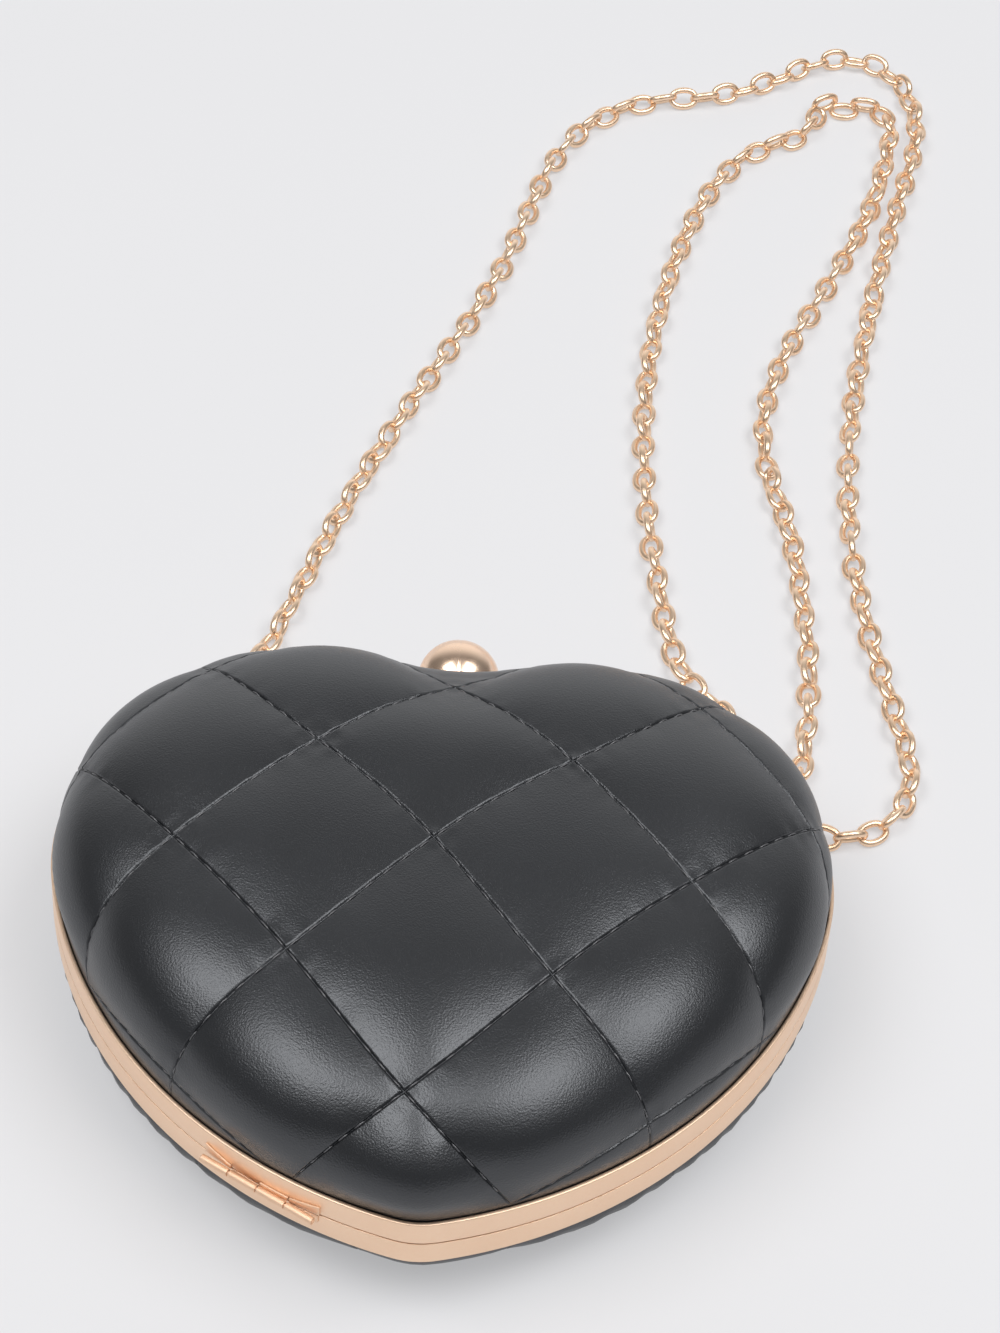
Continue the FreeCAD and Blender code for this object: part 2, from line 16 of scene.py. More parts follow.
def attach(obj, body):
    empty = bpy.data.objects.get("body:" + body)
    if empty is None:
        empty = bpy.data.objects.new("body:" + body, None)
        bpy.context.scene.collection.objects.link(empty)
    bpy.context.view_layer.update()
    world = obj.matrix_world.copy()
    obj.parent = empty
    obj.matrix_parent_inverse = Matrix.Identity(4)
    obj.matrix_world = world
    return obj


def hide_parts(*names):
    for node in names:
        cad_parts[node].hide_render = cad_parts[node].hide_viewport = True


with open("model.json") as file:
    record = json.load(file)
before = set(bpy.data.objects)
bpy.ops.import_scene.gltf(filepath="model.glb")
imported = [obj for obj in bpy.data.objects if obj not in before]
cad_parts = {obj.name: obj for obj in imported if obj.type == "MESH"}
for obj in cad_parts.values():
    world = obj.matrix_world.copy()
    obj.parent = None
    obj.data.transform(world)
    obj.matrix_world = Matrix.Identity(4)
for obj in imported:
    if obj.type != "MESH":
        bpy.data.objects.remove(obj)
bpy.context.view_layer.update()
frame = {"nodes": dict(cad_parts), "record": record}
nodes = frame["nodes"]
MM = 0.001
MM_PER_M = 1000

# %% [markdown]
# ## Camera
# The clutch was seen from in front and above, with a long lens. A camera is placed by a matrix whose columns
# are its right, up and backward directions, which is easier to check than three turns one after another.

# %% Place the camera
IMAGE_HEIGHT_PX = 1333
FOCAL_PX = 3753.6
SENSOR_MM = 36.0
CAMERA_PLACE_MM = (10.94, -505.80, 656.27)
CAMERA_YAW, CAMERA_PITCH, CAMERA_ROLL = 0.00285, 0.82033, 0.06442


def camera_axes(yaw, pitch, roll):
    """Right, up and backward: the level axes for yaw and pitch, then turned by roll about backward."""
    back = np.array([math.sin(yaw) * math.cos(pitch), -math.cos(yaw) * math.cos(pitch), math.sin(pitch)])
    level = np.array([math.cos(yaw), math.sin(yaw), 0.0])
    rise = np.cross(back, level)
    right = math.cos(roll) * level + math.sin(roll) * rise
    return np.stack([right, np.cross(back, right), back], axis=1)


camera_matrix = np.eye(4)
camera_matrix[:3, :3] = camera_axes(CAMERA_YAW, CAMERA_PITCH, CAMERA_ROLL)
camera_matrix[:3, 3] = np.array(CAMERA_PLACE_MM) * MM
camera_data = bpy.data.cameras.new("camera")
camera_data.sensor_fit = "VERTICAL"
camera_data.sensor_height = SENSOR_MM
camera_data.lens = SENSOR_MM * FOCAL_PX / IMAGE_HEIGHT_PX
camera = bpy.data.objects.new("camera", camera_data)
camera.matrix_world = Matrix(camera_matrix.tolist())
bpy.context.scene.collection.objects.link(camera)
bpy.context.scene.camera = camera
print("lens", round(camera_data.lens, 2), "mm")

# %% [markdown]
# ## Small helpers
# A mesh is an array of points and an array of faces. Most pieces here are grids, so one function numbers the
# faces of a grid, and one puts points and faces into a Blender object.


# %% Mesh helpers
def grid_faces(rows, columns, close_rows=False, close_columns=False):
    """Corner numbers of the squares of a grid, whose last row or column may join the first."""
    row = np.arange(rows if close_rows else rows - 1)
    column = np.arange(columns if close_columns else columns - 1)
    i, j = np.meshgrid(row, column, indexing="ij")
    after_i = (i + 1) % rows
    after_j = (j + 1) % columns
    corners = [i * columns + j, after_i * columns + j, after_i * columns + after_j, i * columns + after_j]
    return np.stack(corners, axis=-1).reshape(-1, 4)


def fan(centre, ring):
    """Triangles from one corner to the sides of a closed ring of corners."""
    return np.stack([np.full(len(ring), centre), ring, np.roll(ring, -1)], axis=1)


def copies(faces, corners, count):
    """The faces of a shape with so many corners, numbered again for each of its copies."""
    return (faces[None] + corners * np.arange(count)[:, None, None]).reshape(-1, faces.shape[1])


def new_piece(name, points_mm, face_arrays, finish, body):
    """A smooth shaded mesh object that rides on a body and wears the finish it is given."""
    mesh = bpy.data.meshes.new(name)
    mesh.from_pydata((points_mm * MM).tolist(), [], sum([faces.tolist() for faces in face_arrays], []))
    mesh.shade_smooth()
    mesh.materials.append(finish)
    piece = bpy.data.objects.new(name, mesh)
    bpy.context.scene.collection.objects.link(piece)
    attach(piece, body)
    print(name, "points", len(mesh.vertices), "faces", len(mesh.polygons))
    return piece


def unit(vectors):
    """Vectors of length 1 along the last axis."""
    return vectors / np.maximum(np.linalg.norm(vectors, axis=-1, keepdims=True), 1e-9)


# %% [markdown]
# ## Colour and nodes
# Colours are written as sRGB hex values, as a paint chart gives them, and Blender wants linear light, so one
# function converts them. Another adds a node, sets its values and links its inputs. Simple finishes are two
# tones that a texture mixes, so they share a function too.


# %% Colour and node helpers
def linear(hex_colour):
    """sRGB hex to linear light: c/12.92 near black, else ((c + 0.055)/1.055)^2.4."""
    srgb = np.array([int(hex_colour[i:i + 2], 16) for i in (1, 3, 5)]) / 255
    light = np.where(srgb <= 0.04045, srgb / 12.92, ((srgb + 0.055) / 1.055) ** 2.4)
    return (*light.tolist(), 1.0)


def add(tree, kind, links=None, **settings):
    """Adds a node: settings are its own values, links its inputs by name or number, a socket or a value."""
    node = tree.nodes.new(kind)
    for name, value in settings.items():
        setattr(node, name, value)
    for name, value in (links or {}).items():
        socket = node.inputs[name]
        if isinstance(value, bpy.types.NodeSocket):
            tree.links.new(value, socket)
        else:
            socket.default_value = value
    return node


def new_finish(name):
    """An empty material and its node tree."""
    finish = bpy.data.materials.new(name)
    finish.use_nodes = True
    finish.node_tree.nodes.clear()
    return finish, finish.node_tree


def speckled_finish(name, texture, measure, speck_mm, dark, light, values):
    """A finish of two tones, mixed by a texture of specks of one size, with the surface's other values."""
    finish, tree = new_finish(name)
    place = add(tree, "ShaderNodeTexCoord").outputs["Object"]
    specks = add(tree, texture, {"Vector": place, "Scale": MM_PER_M / speck_mm})
    shade = add(tree, "ShaderNodeMix", {0: specks.outputs[measure], 6: linear(dark), 7: linear(light)},
                data_type="RGBA")
    surface = add(tree, "ShaderNodeBsdfPrincipled", {"Base Color": shade.outputs[2], **values})
    add(tree, "ShaderNodeOutputMaterial", {"Surface": surface.outputs[0]})
    return finish


# %% [markdown]
# ## Plated metals
# All the metal is plated: a thin bright layer over a ground that was blasted, buffed or tumbled. The plate
# gives the colour, which changes slowly over the piece, and the ground gives fine marks that blur the gloss.


# %% Metal finishes
PLATE_CLOUD_MM = 16
MARK_LOW, MARK_HIGH = 0.3, 0.7


def plated_metal(name, dark, light, rough_low, rough_high, mark_mm, bump_um):
    """A plated metal: a slow change of colour over 16 mm, and fine marks that blur its gloss."""
    finish, tree = new_finish(name)
    place = add(tree, "ShaderNodeTexCoord").outputs["Object"]
    cloud = add(tree, "ShaderNodeTexNoise", {
        "Vector": place, "Scale": MM_PER_M / PLATE_CLOUD_MM, "Detail": 3.0})
    marks = add(tree, "ShaderNodeTexNoise", {"Vector": place, "Scale": MM_PER_M / mark_mm, "Detail": 5.0})
    shade = add(tree, "ShaderNodeMix", {0: cloud.outputs["Fac"], 6: linear(dark), 7: linear(light)},
                data_type="RGBA")
    rough = add(tree, "ShaderNodeMapRange", {
        "Value": marks.outputs["Fac"], "From Min": MARK_LOW, "From Max": MARK_HIGH,
        "To Min": rough_low, "To Max": rough_high})
    bump = add(tree, "ShaderNodeBump", {
        "Height": marks.outputs["Fac"], "Strength": 0.3, "Distance": bump_um * 1e-6})
    surface = add(tree, "ShaderNodeBsdfPrincipled", {
        "Base Color": shade.outputs[2], "Metallic": 1.0, "Roughness": rough.outputs[0],
        "Normal": bump.outputs[0]})
    add(tree, "ShaderNodeOutputMaterial", {"Surface": surface.outputs[0]})
    return finish


# Rose gold plate over a satin ground, as blasting and light polishing leave it: no sharp reflections
satin_gold = plated_metal("satin_rose_gold", "#F4D2B4", "#FBDDC2", 0.40, 0.50, 0.8, 10)
# The same plate on the small hinge pieces, blasted and not polished: matt, so the barrels look even
matt_gold = plated_metal("matt_rose_gold", "#F4D2B4", "#FBDDC2", 0.58, 0.66, 0.8, 10)
# Gold plate over a buffed ball: nearly a mirror, with faint wipe marks
mirror_gold = plated_metal("mirror_gold", "#F6D2B4", "#FBDFC8", 0.20, 0.28, 3.0, 2)
# Gold plated wire, tumbled bright after it is bent and closed
link_gold = plated_metal("bright_gold_wire", "#F9D5B2", "#FEE4CA", 0.28, 0.40, 1.2, 8)
# Drawn spring wire, left bright
spring_steel = plated_metal("spring_steel", "#B4B4B2", "#C8C8C6", 0.25, 0.35, 1.0, 8)
print("metals", [metal.name for metal in (satin_gold, matt_gold, mirror_gold, link_gold, spring_steel)])

# %% [markdown]
# ## The chain strap
# The strap is a cable chain that lies on the table. Its line is one smooth NURBS curve through the room that
# the plain solid keeps for it. Each link is an oval ring of wire. It could be an array on a curve, but links
# lean one after the other to either side when they lie down, so each link gets its own roll about the line.

# %% The line of the chain
CHAIN_FLOOR = 2.6
LINE_STEPS = 24
CHAIN_ROUTE = [
    (-60.84, 71.73, 12.87), (-62.4, 75.6, 7.4), (-62.0, 80.5, 4.0), (-57.4, 86.3), (-51.5, 94.1),
    (-46.1, 105.0), (-40.7, 125.2), (-31.3, 157.6), (-16.6, 197.0), (0.2, 238.4), (8.5, 270.9),
    (13.5, 292.5), (23.3, 310.8), (39.6, 323.1), (57.3, 324.5), (73.5, 333.4), (87.8, 344.7),
    (100.6, 347.2), (110.4, 337.3), (114.4, 323.1), (113.4, 306.3), (108.0, 283.7), (100.6, 245.3),
    (94.7, 205.9), (92.7, 171.4), (94.2, 142.9), (98.1, 119.2), (103.1, 97.6), (107.0, 80.8),
    (105.5, 68.5), (99.1, 60.7), (90.3, 56.2), (82.4, 58.2), (79.4, 67.1), (81.9, 83.8), (83.4, 107.4),
    (81.4, 133.0), (78.9, 154.7), (73.0, 176.4), (71.1, 195.1), (76.5, 219.7), (89.3, 250.2),
    (100.1, 277.8), (105.0, 301.4), (107.0, 315.5), (105.5, 323.5), (101.0, 326.5), (94.6, 323.6),
    (88.8, 327.4), (85.6, 317.5), (82.3, 311.0), (73.4, 306.0), (65.6, 300.4), (56.8, 284.7),
    (49.4, 261.0), (43.0, 228.5), (41.0, 194.1), (42.5, 161.6), (46.4, 133.0), (49.9, 112.4),
    (55.3, 101.0), (62.7, 94.1), (65.2, 85.3), (64.5, 80.5, 4.0), (62.6, 75.8, 7.5), (60.84, 71.73, 12.87),
]


def smooth_line(name, route_mm, floor_mm):
    """Points along a NURBS curve of order 3 over the route's control points, read from Blender's curve."""
    data = bpy.data.curves.new(name, "CURVE")
    data.dimensions = "3D"
    data.resolution_u = LINE_STEPS
    spline = data.splines.new("NURBS")
    spline.points.add(len(route_mm) - 1)
    control = np.array([(*point, floor_mm)[:3] + (1.0 / MM,) for point in route_mm]) * MM
    spline.points.foreach_set("co", control.ravel())
    spline.order_u = 3
    spline.use_endpoint_u = True
    curve = bpy.data.objects.new(name, data)
    bpy.context.scene.collection.objects.link(curve)
    bpy.context.view_layer.update()
    line = bpy.data.meshes.new_from_object(curve)
    points = np.empty(len(line.vertices) * 3)
    line.vertices.foreach_get("co", points)
    bpy.data.objects.remove(curve)
    bpy.data.meshes.remove(line)
    return points.reshape(-1, 3) / MM


chain_line = smooth_line("chain_line", CHAIN_ROUTE, CHAIN_FLOOR)
chain_along = np.append(0.0, np.cumsum(np.linalg.norm(np.diff(chain_line, axis=0), axis=1)))
print("chain line", len(chain_line), "points", round(chain_along[-1], 1), "mm")

# %% [markdown]
# A link is drawn with few faces, because there are hundreds, and one subdivision rounds it. Subdivision draws
# a ring in, so the oval and its wire start larger by the share that it takes away.

# %% One link
LINK_LENGTH, LINK_WIDTH, LINK_WIRE = 8.7, 6.4, 1.8
OVAL_POWER = 2.3
LINK_PITCH = 6.0
LINK_STATIONS, LINK_SIDES = 12, 6
STATION_SHRINK = (6 + 2 * math.cos(2 * math.pi / LINK_STATIONS)) / 8
SIDE_SHRINK = (6 + 2 * math.cos(2 * math.pi / LINK_SIDES)) / 8


def link_ring():
    """One link about the origin: a wire round a rounded oval |x/a|^2.3 + |y/b|^2.3 = 1, in its own plane."""
    turn = np.arange(LINK_STATIONS) * 2 * math.pi / LINK_STATIONS
    power = 2 / OVAL_POWER
    half_length = (LINK_LENGTH - LINK_WIRE) / 2 / STATION_SHRINK
    half_width = (LINK_WIDTH - LINK_WIRE) / 2 / STATION_SHRINK
    oval = np.stack([
        half_length * np.sign(np.cos(turn)) * np.abs(np.cos(turn)) ** power,
        half_width * np.sign(np.sin(turn)) * np.abs(np.sin(turn)) ** power,
        np.zeros_like(turn)], axis=1)
    way = unit(np.roll(oval, -1, axis=0) - np.roll(oval, 1, axis=0))
    outward = np.stack([way[:, 1], -way[:, 0], way[:, 2]], axis=1)
    spin = np.arange(LINK_SIDES) * 2 * math.pi / LINK_SIDES
    wire = LINK_WIRE / 2 / SIDE_SHRINK
    upward = np.array([0.0, 0.0, 1.0])
    ring = oval[:, None] + wire * (np.cos(spin)[:, None] * outward[:, None] + np.sin(spin)[:, None] * upward)
    return ring.reshape(-1, 3)


ring_points = link_ring()
ring_faces = grid_faces(LINK_STATIONS, LINK_SIDES, close_rows=True, close_columns=True)
print("one link", len(ring_faces), "faces", np.ptp(ring_points, axis=0).round(2), "mm before it is rounded")

# %% Links along the line
END_LINK = 1.4
LINK_LEAN, LINK_DRIFT, LINK_CHANCE = 45.0, 22.0, 9
DRIFT_LENGTH, LINK_SEED = 47, 11
RESTING_RISE = 0.3
link_count = round((chain_along[-1] - 2 * END_LINK) / LINK_PITCH) + 1
link_at = np.linspace(END_LINK, chain_along[-1] - END_LINK, link_count)
link_middle = np.stack([np.interp(link_at, chain_along, chain_line[:, k]) for k in range(3)], axis=1)
chance = np.random.default_rng(LINK_SEED)
lean = LINK_LEAN * (-1.0) ** np.arange(link_count)
drift = LINK_DRIFT * np.sin(link_at / DRIFT_LENGTH) + chance.normal(0, LINK_CHANCE, link_count)
link_roll = np.radians(lean + drift)
link_roll[[0, -1]] = math.pi / 2
resting = link_middle[:, 2] < CHAIN_FLOOR + RESTING_RISE
lowest = (LINK_WIDTH - LINK_WIRE) / 2 * np.abs(np.sin(link_roll)) + LINK_WIRE / 2
link_middle[:, 2] = np.where(resting, lowest, link_middle[:, 2])
link_way = unit(np.gradient(link_middle, axis=0))
link_side = unit(np.cross([0.0, 0.0, 1.0], link_way))
link_rise = np.cross(link_way, link_side)
link_across = np.cos(link_roll)[:, None] * link_side + np.sin(link_roll)[:, None] * link_rise
link_axes = np.stack([link_way, link_across, np.cross(link_way, link_across)], axis=1)
links = link_middle[:, None] + np.einsum("pk,nkc->npc", ring_points, link_axes)
link_faces = copies(ring_faces, len(ring_points), link_count)
chain = new_piece("chain_links", links.reshape(-1, 3), [link_faces], link_gold, "back_half")
smooth = chain.modifiers.new("smooth", "SUBSURF")
smooth.levels = smooth.render_levels = 1
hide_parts("strap_chain")
print("links", link_count, "pitch", round(link_at[1] - link_at[0], 2), "mm")

# %% [markdown]
# ## The heart
# The outline of the frame is made of arcs that meet without a corner. A sweep needs its points and their
# outward directions, and the dome needs how far the outline lies from the middle in each direction.

# %% Arcs of the heart
LOBE_RADIUS, LOBE = 53.0, np.array([32.0, 17.5])
TIP_RADIUS, TIP = 18.2, np.array([0.0, -58.0])
SIDE_RADIUS, CLEFT_RADIUS = 108.0, 28.5
DOME_Y = 3.0
OUTLINE_STEP, LEAST_STEPS = 1.5, 4
BACK_EDGE_Z, SEAM_Z, FRONT_EDGE_Z = 17.2, 23.7, 30.2
CLEFT = np.array([0.0, LOBE[1] + math.sqrt((LOBE_RADIUS + CLEFT_RADIUS) ** 2 - LOBE[0] ** 2)])


def heading_of(vector):
    """Angle of a flat vector from +X."""
    return math.atan2(vector[1], vector[0])


def side_centre():
    """Centre of the right side's arc, which touches the lobe and the point from outside."""
    span = LOBE - TIP
    to_lobe, to_tip = SIDE_RADIUS - LOBE_RADIUS, SIDE_RADIUS - TIP_RADIUS
    corner = math.acos((to_tip**2 + span @ span - to_lobe**2) / (2 * to_tip * math.hypot(*span)))
    heading = heading_of(span) + corner
    return TIP + to_tip * np.array([math.cos(heading), math.sin(heading)])


SIDE = side_centre()
print("right side's arc about", SIDE.round(2))


# %% Points round the heart
def heart_path(step_mm):
    """Points and outward directions round the outline: the arcs of the right half, then their mirror."""
    lobe_start, lobe_end, side_end = heading_of(CLEFT - LOBE), heading_of(LOBE - SIDE), heading_of(TIP - SIDE)
    arcs = [
        (CLEFT, CLEFT_RADIUS, -math.pi / 2, heading_of(LOBE - CLEFT), -1),
        (LOBE, LOBE_RADIUS, lobe_start, lobe_end, 1),
        (SIDE, SIDE_RADIUS, lobe_end, side_end, 1),
        (TIP, TIP_RADIUS, side_end, -math.pi / 2, 1),
    ]
    points, outward = [], []
    for centre, radius, start, end, sign in arcs:
        count = max(LEAST_STEPS, round(radius * abs(end - start) / step_mm))
        turn = np.linspace(start, end, count, endpoint=False)
        ray = np.stack([np.cos(turn), np.sin(turn)], axis=1)
        points.append(centre + radius * ray)
        outward.append(sign * ray)
    right, right_out = np.concatenate(points), np.concatenate(outward)
    tip, tip_out = TIP - [0, TIP_RADIUS], np.array([0.0, -1.0])
    mirror = np.array([-1.0, 1.0])
    path = np.concatenate([right, [tip], right[:0:-1] * mirror])
    return path, np.concatenate([right_out, [tip_out], right_out[:0:-1] * mirror])


heart_points, heart_outward = heart_path(OUTLINE_STEP)
print("outline", len(heart_points), "points", np.ptp(heart_points, axis=0).round(1), "mm across")


# %% Reach of the heart
def heart_reach(angle, inset):
    """Distance from the dome's middle to the outline drawn in by inset: a ray meets the arc it points at."""
    ray = np.stack([np.abs(np.cos(angle)), np.sin(angle)], axis=-1)
    middle = np.array([0.0, DOME_Y])

    def hit(centre, radius, far):
        offset = middle - centre
        along = ray @ offset
        return -along + far * np.sqrt(np.maximum(along**2 - offset @ offset + radius**2, 0))

    def corner(centre, toward, radius):
        return heading_of(centre + (toward - centre) / np.linalg.norm(toward - centre) * radius - middle)

    turn = np.arctan2(ray[..., 1], ray[..., 0])
    return np.select(
        [turn > corner(CLEFT, LOBE, CLEFT_RADIUS + inset),
         turn > corner(SIDE, LOBE, SIDE_RADIUS - inset),
         turn > corner(SIDE, TIP, SIDE_RADIUS - inset)],
        [hit(CLEFT, CLEFT_RADIUS + inset, -1), hit(LOBE, LOBE_RADIUS - inset, 1),
         hit(SIDE, SIDE_RADIUS - inset, 1)],
        hit(TIP, TIP_RADIUS - inset, 1))


print("reach to the right", heart_reach(np.array([0.0]), 0.0).round(2), "mm")

# %% [markdown]
# ## Flat leather over a dome
# A quilted cover is sewn flat, then pulled over its dome. So its stitch grid is laid out flat, and each flat
# point is carried to the dome: the same direction from the middle, at the same distance along the surface.
# The front is a tall dome with a round shoulder, and the back a low one that meets the table.

# %% Wrap the flat leather
COVER_INSET = 1.1
ROOT_DEPTH = 4.5
RAYS, STEPS = 721, 400


def dome_wrap(height, shoulder, roundness):
    """The function that carries flat leather to a dome, from a table of arc lengths along its rays.

    The dome's profile is s = cos(t)^(2/shoulder) of the reach and z = height sin(t)^(2/roundness).
    """
    turn = np.linspace(math.pi / 2, 0, STEPS)
    profile_share = np.clip(np.cos(turn), 0, 1) ** (2 / shoulder)
    profile_rise = height * np.sin(turn) ** (2 / roundness)
    ray_angle = np.linspace(-math.pi, math.pi, RAYS)
    ray_reach = heart_reach(ray_angle, COVER_INSET)
    leg = np.hypot(np.diff(profile_share) * ray_reach[:, None], np.diff(profile_rise))
    ray_length = np.concatenate([np.zeros((RAYS, 1)), np.cumsum(leg, axis=1)], axis=1)
    ray_rim = ray_length[:, -1]
    even = np.linspace(0, 1, STEPS)
    share_table = np.stack([
        np.interp(even * end, far, profile_share) for end, far in zip(ray_rim, ray_length)])
    print("leather from crown to rim", ray_rim.min().round(1), "to", ray_rim.max().round(1), "mm")

    def wrap(flat):
        """Flat points (..., 2) to the dome (..., 3), and how far along the leather the rim still is.

        Past the rim the leather goes straight down into the frame, to the root's depth and no further.
        """
        far = np.hypot(flat[..., 0], flat[..., 1])
        angle = np.arctan2(flat[..., 1], flat[..., 0])
        rim = np.interp(angle, ray_angle, ray_rim)
        reach = np.interp(angle, ray_angle, ray_reach)
        row = (angle + math.pi) / (2 * math.pi) * (RAYS - 1)
        column = np.clip(far / rim, 0, 1) * (STEPS - 1)
        i, j = np.clip(row.astype(int), 0, RAYS - 2), np.clip(column.astype(int), 0, STEPS - 2)
        p, q = row - i, column - j
        share = ((1 - p) * ((1 - q) * share_table[i, j] + q * share_table[i, j + 1])
                 + p * ((1 - q) * share_table[i + 1, j] + q * share_table[i + 1, j + 1]))
        share = np.clip(share, 0, 1)
        rise = height * (1 - share**shoulder) ** (1 / roundness) - np.clip(far - rim, 0, ROOT_DEPTH)
        across = share * reach
        return np.stack([across * np.cos(angle), DOME_Y + across * np.sin(angle), rise], axis=-1), rim - far

    return wrap


# Height, shoulder and roundness of each dome
DOMES = {"front": (28.4, 3.55, 2.55), "back": (18.0, 2.2, 2.0)}
front_wrap = dome_wrap(*DOMES["front"])
back_wrap = dome_wrap(*DOMES["back"])

# %% The diamond grid
QUILT_PITCH = 38.67
QUILT_MIDDLE = np.array([-1.87, 0.0])
QUILT_TOP = 104.6
QUILT_TURN = -0.0356
PULL, PULL_MIDDLE, PULL_LENGTH, PULL_WIDTH = 4.2, 5.0, 115.0, 35.0


def flat_quilt(right, left):
    """Flat place of a point of the diamond grid: right counts the seams that rise rightwards, left the rest.

    Along the middle line the leather was pulled up and down by a wave of 115 mm, which dies out sideways.
    """
    x = (right - left) * QUILT_PITCH / math.sqrt(2)
    y = QUILT_TOP - (right + left) * QUILT_PITCH / math.sqrt(2)
    c, s = math.cos(QUILT_TURN), math.sin(QUILT_TURN)
    x, y = QUILT_MIDDLE[0] + c * x - s * y, QUILT_MIDDLE[1] + s * x + c * y
    wave = np.cos(2 * math.pi * (y - PULL_MIDDLE) / PULL_LENGTH)
    return np.stack([x, y + PULL * np.exp(-((x / PULL_WIDTH) ** 2)) * wave], axis=-1)


def quilt_surface(right, left, wrap):
    """Points of the bare dome under the diamond grid, their outward directions and their way to the rim."""
    small = 0.002
    base, rim = wrap(flat_quilt(right, left))
    along_right = wrap(flat_quilt(right + small, left))[0] - base
    along_left = wrap(flat_quilt(right, left + small))[0] - base
    return base, unit(np.cross(along_left, along_right)), rim


print("crown points", quilt_surface(np.array([2.0]), np.array([2.0]), front_wrap)[1].round(3))

# %% [markdown]
# ## Quilting
# Thin foam under the leather swells between the seams, and the thread pulls the seams down. The swelling
# could be left to a cloth solver with the seams pinned. The leather is stretched tight here and shows no
# folds, so one formula gives its height over the dome, and the cover, its foam and its stitches all use it.

# %% Height of the quilting
PUFF, SEAM_SINK, SEAM_WIDTH = 2.2, 0.45, 0.45
SWELL_POWER = 2.2
STITCHES_PER_SIDE = 8
STITCH_PITCH = QUILT_PITCH / STITCHES_PER_SIDE
PUCKER, PUCKER_REACH = 0.1, 2.6
SHORT_GATHER, LONG_GATHER = 8.1, 13.3
PLUMP, PLUMP_AT_POINT, PLUMP_CHANGE = 0.62, 0.55, 0.06
ROW_CHANGE, COLUMN_CHANGE = 12.9, 7.3
POINT_REACH, FRONT_REACH = 40.0, 25.0
RIM_REACH, SEAM_RIM_REACH = 5.0, 1.2
CLEFT_FULLNESS, CLEFT_REACH, CLEFT_WIDTH = 1.2, 22.0, 20.0
ROLL_REACH, ROLL_WAVE, ROLL_WAVE_LENGTH = 8.0, 0.13, 5.6
ROLL_LOSS, POINT_WIDTH = 0.9, 34.0


def swell(part):
    """Rise across one diamond from seam to seam: 1 - |2u - 1|^2.2."""
    return np.maximum(1 - np.abs(2 * part - 1) ** SWELL_POWER, 0)


def pucker(along, seam):
    """Uneven gathers along a seam, the sum of three waves of 5, 8 and 13 mm that differ from seam to seam."""
    turns = 2 * math.pi * along
    return (np.cos(turns / STITCH_PITCH) + 0.7 * np.sin(turns / SHORT_GATHER + 2.1 * seam)
            + 0.6 * np.sin(turns / LONG_GATHER + 4.7 * seam))


def quilt_height(right, left, rim, fullness, roll):
    """Leather over the dome in mm: a pillow in each diamond, a V groove and gathers at each seam.

    The pillows are fuller near the rim towards the point, and a little uneven. They fade out at the rim, as
    1 - exp(-(rim / reach)^2), and the seams go on nearly to it. The leather bunches up in the cleft, and it
    may roll out at its rim along the sides, both as a half wave over their reach. The roll is a little wavy.
    """
    row, column = np.floor(right), np.floor(left)
    u, v = right - row, left - column
    flat = flat_quilt(right, left)
    forward = 0.5 - 0.5 * np.tanh(flat[..., 1] / FRONT_REACH)
    near_point = forward * np.exp(-((rim / POINT_REACH) ** 2))
    uneven = PLUMP_CHANGE * np.sin(ROW_CHANGE * row + COLUMN_CHANGE * column)
    plump = PLUMP + PLUMP_AT_POINT * near_point + uneven
    pillow = PUFF * plump * swell(u) * swell(v)
    from_right = np.minimum(u, 1 - u) * QUILT_PITCH
    from_left = np.minimum(v, 1 - v) * QUILT_PITCH
    groove = np.maximum(np.clip(1 - from_right / SEAM_WIDTH, 0, 1), np.clip(1 - from_left / SEAM_WIDTH, 0, 1))
    gather = (pucker(left * QUILT_PITCH, np.round(right)) * np.exp(-from_right / PUCKER_REACH)
              + pucker(right * QUILT_PITCH, np.round(left) + 0.5) * np.exp(-from_left / PUCKER_REACH))
    inside = np.maximum(rim, 0)
    padded = 1 - np.exp(-((inside / RIM_REACH) ** 2))
    sewn = 1 - np.exp(-((inside / SEAM_RIM_REACH) ** 2))
    quilting = padded * (fullness * pillow + PUCKER * gather * (1 - groove)) - sewn * SEAM_SINK * groove
    cleft = np.exp(-((flat[..., 0] / CLEFT_WIDTH) ** 2)) * (flat[..., 1] > 0)
    bunched = CLEFT_FULLNESS * cleft * np.sin(math.pi * np.clip(rim / CLEFT_REACH, 0, 1))
    sides = 1 - ROLL_LOSS * np.exp(-((flat[..., 0] / POINT_WIDTH) ** 2))
    wavy = 1 + ROLL_WAVE * np.sin(2 * math.pi * flat[..., 1] / ROLL_WAVE_LENGTH)
    rolled = roll * sides * wavy * np.sin(math.pi * np.clip(rim / ROLL_REACH, 0, 1))
    return quilting + bunched + rolled


COVER_STEPS, SEAM_CROWDING = 36, 0.9


def quilt_steps(count):
    """Grid lines from seam to seam, close together near the seams: u = t - 0.9 sin(2 pi t)/(2 pi)."""
    even = np.arange(count) / count
    return even - SEAM_CROWDING * np.sin(2 * math.pi * even) / (2 * math.pi)


print("grid lines near a seam", (quilt_steps(COVER_STEPS)[:4] * QUILT_PITCH).round(2), "mm")

# %% Quilted sheets
QUILT_FIRST, QUILT_LAST = -2, 7
TABLE_CLEARANCE = 0.05


